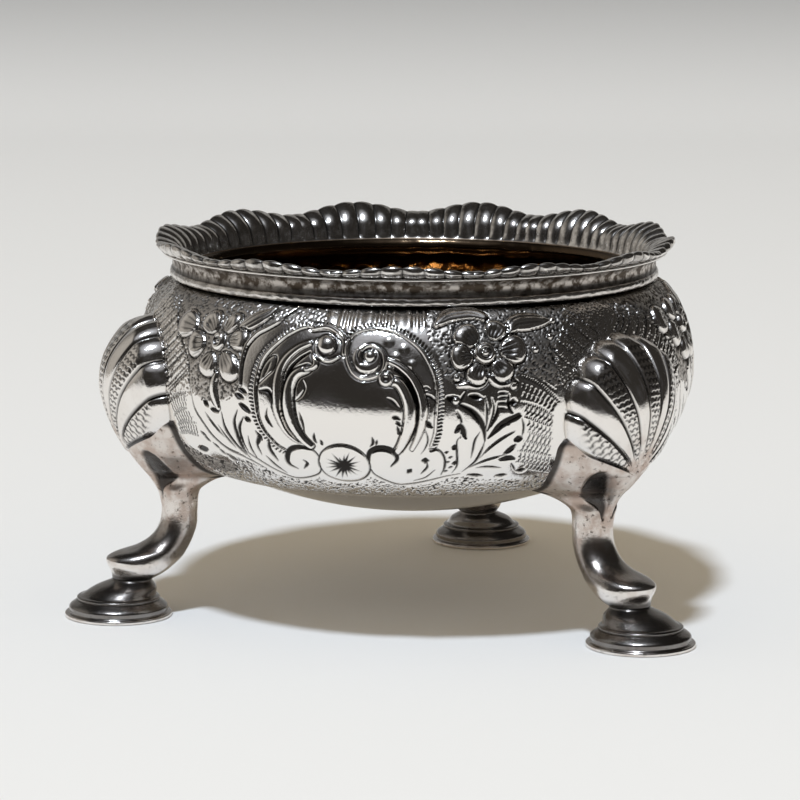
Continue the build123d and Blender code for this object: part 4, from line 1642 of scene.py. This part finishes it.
def silver_material(name, stain, stain_colour, gloss, speckle, blotches):
    """Old silver: bright where rubbed, stained in patches, dark where tarnish lies and where shade is
    painted, gilt where marked.
    """
    material = bpy.data.materials.new(name)
    material.use_nodes = True
    tree = material.node_tree
    tree.nodes.clear()
    output = tree.nodes.new("ShaderNodeOutputMaterial")
    surface = node_of(tree, "ShaderNodeBsdfPrincipled", Metallic=1.0)
    tree.links.new(surface.outputs["BSDF"], output.inputs["Surface"])
    tarnish, gilt, matte, patina = [
        node_of(tree, "ShaderNodeAttribute", attribute_name=key).outputs["Fac"]
        for key in ("tarnish", "gilt", "matte", "patina")
    ]
    where = tree.nodes.new("ShaderNodeTexCoord").outputs["Object"]
    blotch = noise_between(tree, where, blotches, blotch_detail, *blotch_levels)
    speck = noise_between(tree, where, speck_scale, speck_detail, *speck_levels)
    grain = noise_between(tree, where, grain_scale, grain_detail, *grain_levels)
    stained = weighed(tree, patina, weighed(tree, blotch, stain, least_stain), bare_stain)
    pitted = weighed(tree, speck, weighed(tree, patina, speckle, 0.0), 0.0)

    colour = mixed(tree, gilt, silver_colour, gilt_colour)
    colour = mixed(tree, weighed(tree, matte, matte_tint, 0.0), colour, matte_colour)
    colour = mixed(tree, stained, colour, stain_colour)
    colour = mixed(tree, pitted, colour, speck_colour)
    # Tarnish darkens the colour; on the bowl and the rim the tarnish attribute also holds painted shade
    # under the collar and the brim, over the wire and inside the neck
    colour = mixed(tree, tarnish, colour, tarnish_and_shade_colour)
    tree.links.new(colour, surface.inputs["Base Color"])

    rough = weighed(tree, tarnish, tarnish_roughness, gloss)
    rough = weighed(tree, matte, matte_roughness, rough)
    rough = weighed(tree, stained, stain_roughness, rough)
    tree.links.new(rough, surface.inputs["Roughness"])

    bump = node_of(tree, "ShaderNodeBump", Strength=bump_strength, Distance=bump_distance)
    tree.links.new(weighed(tree, pitted, speck_sink, grain), bump.inputs["Height"])
    tree.links.new(bump.outputs["Normal"], surface.inputs["Normal"])
    return material


def stage_material():
    """Pale paper, with painted shade that greys it up the backdrop."""
    material = bpy.data.materials.new("paper")
    material.use_nodes = True
    tree = material.node_tree
    surface = tree.nodes["Principled BSDF"]
    surface.inputs["Roughness"].default_value = paper_roughness
    surface.inputs["Specular IOR Level"].default_value = paper_shine
    place_of = tree.nodes.new("ShaderNodeTexCoord").outputs["Object"]
    parts = tree.nodes.new("ShaderNodeSeparateXYZ")
    tree.links.new(place_of, parts.inputs["Vector"])
    # Painted shade: the paper greys with height up the backdrop
    fade = ranged(tree, parts.outputs["Z"], 0.0, backdrop_shade_height * MM)
    tree.links.new(mixed(tree, fade, floor_colour, backdrop_shade_colour), surface.inputs["Base Color"])
    return material


# Floor, light and camera

def build_stage():
    """Floor that ends in front of the object and sweeps up into a backdrop behind it."""
    sweep = np.linspace(0, math.pi / 2, 25)
    profile = [(y, 0.0) for y in np.linspace(-floor_front, floor_back, 31)]
    profile += [(floor_back + sweep_radius * math.sin(a), sweep_radius * (1 - math.cos(a)))
                for a in sweep[1:]]
    profile.append((floor_back + sweep_radius, backdrop_height))
    grid = np.array([[(-floor_half_width, y, z), (floor_half_width, y, z)] for y, z in profile])
    index = np.arange(len(profile) * 2).reshape(-1, 2)
    quads = np.stack([index[:-1, 0], index[:-1, 1], index[1:, 1], index[1:, 0]], -1)
    floor = mesh_object("paper_sweep", turned(grid, camera_azimuth), quads)
    floor.data.materials.append(stage_material())


def towards(direction):
    """Unit vector of a direction that is given as the camera sees it."""
    return turned(direction / np.linalg.norm(direction), camera_azimuth)


def build_light():
    data = bpy.data.lights.new("key", "AREA")
    data.shape = "DISK"
    data.size = key_size * MM
    data.energy = key_power
    data.color = key_colour
    key = bpy.data.objects.new("key", data)
    to_key = towards(key_direction)
    key.location = Vector(to_key * key_distance * MM)
    key.rotation_euler = Vector(to_key).to_track_quat("Z", "Y").to_euler()
    bpy.context.scene.collection.objects.link(key)

    world = bpy.data.worlds.new("room")
    bpy.context.scene.world = world
    world.use_nodes = True
    tree = world.node_tree
    tree.nodes.clear()
    output = tree.nodes.new("ShaderNodeOutputWorld")
    fill = node_of(tree, "ShaderNodeBackground", Color=ambient_colour, Strength=ambient_strength)
    room = node_of(tree, "ShaderNodeBackground", Strength=1.0)
    way = tree.nodes.new("ShaderNodeTexCoord").outputs["Generated"]
    haze = noise_between(tree, way, haze_scale, haze_detail, *haze_levels)
    seen = mixed(tree, haze, room_colour, haze_colour)
    glows = ((key_direction, halo_edges, halo_colour), (window_direction, window_edges, window_colour))
    for direction, edges, shine in glows:
        facing = node_of(tree, "ShaderNodeVectorMath", operation="DOT_PRODUCT")
        facing.inputs[1].default_value = towards(direction)
        tree.links.new(way, facing.inputs[0])
        near = ranged(tree, facing.outputs["Value"], *edges, "SMOOTHSTEP")
        seen = mixed(tree, near, seen, shine)
    tree.links.new(seen, room.inputs["Color"])
    pale = node_of(tree, "ShaderNodeBackground", Color=pale_colour, Strength=1.0)
    path = tree.nodes.new("ShaderNodeLightPath")
    shown = fill.outputs["Background"]
    for ray, other in (("Is Glossy Ray", room), ("Is Camera Ray", pale)):
        mix = tree.nodes.new("ShaderNodeMixShader")
        tree.links.new(path.outputs[ray], mix.inputs["Fac"])
        tree.links.new(shown, mix.inputs[1])
        tree.links.new(other.outputs["Background"], mix.inputs[2])
        shown = mix.outputs["Shader"]
    tree.links.new(shown, output.inputs["Surface"])


def build_camera():
    right, up, forward = camera_axes()
    data = bpy.data.cameras.new("camera")
    data.sensor_width = sensor_width
    data.lens = focal_pixels * sensor_width / photo_size
    data.clip_start = clip_start
    camera = bpy.data.objects.new("camera", data)
    turn = Matrix([[right[k], up[k], -forward[k]] for k in range(3)])
    camera.matrix_world = Matrix.Translation(Vector(camera_place * MM)) @ turn.to_4x4()
    bpy.context.scene.collection.objects.link(camera)
    bpy.context.scene.camera = camera


def main():
    chased = silver_material("chased_silver", stain=0.15, stain_colour=(0.45, 0.38, 0.32, 1),
                             gloss=0.09, speckle=0.0, blotches=420.0)
    mount = silver_material("silver_mount", stain=0.85, stain_colour=(0.1, 0.078, 0.06, 1),
                            gloss=0.11, speckle=0.6, blotches=800.0)
    cast = silver_material("cast_silver", stain=0.7, stain_colour=(0.5, 0.385, 0.32, 1),
                           gloss=0.1, speckle=0.9, blotches=420.0)
    build_bowl(chased)
    build_collar(mount)
    build_rim(mount)
    for k, side in enumerate(leg_sides):
        angle = math.radians(back_leg_angle + k * 360 / len(leg_sides))
        build_leg(side, angle, cast)
        build_shell(side, angle, cast)
        build_foot(side, angle, cast)
    build_stage()
    build_light()
    build_camera()
    bpy.context.scene.view_settings.view_transform = "Standard"


main()
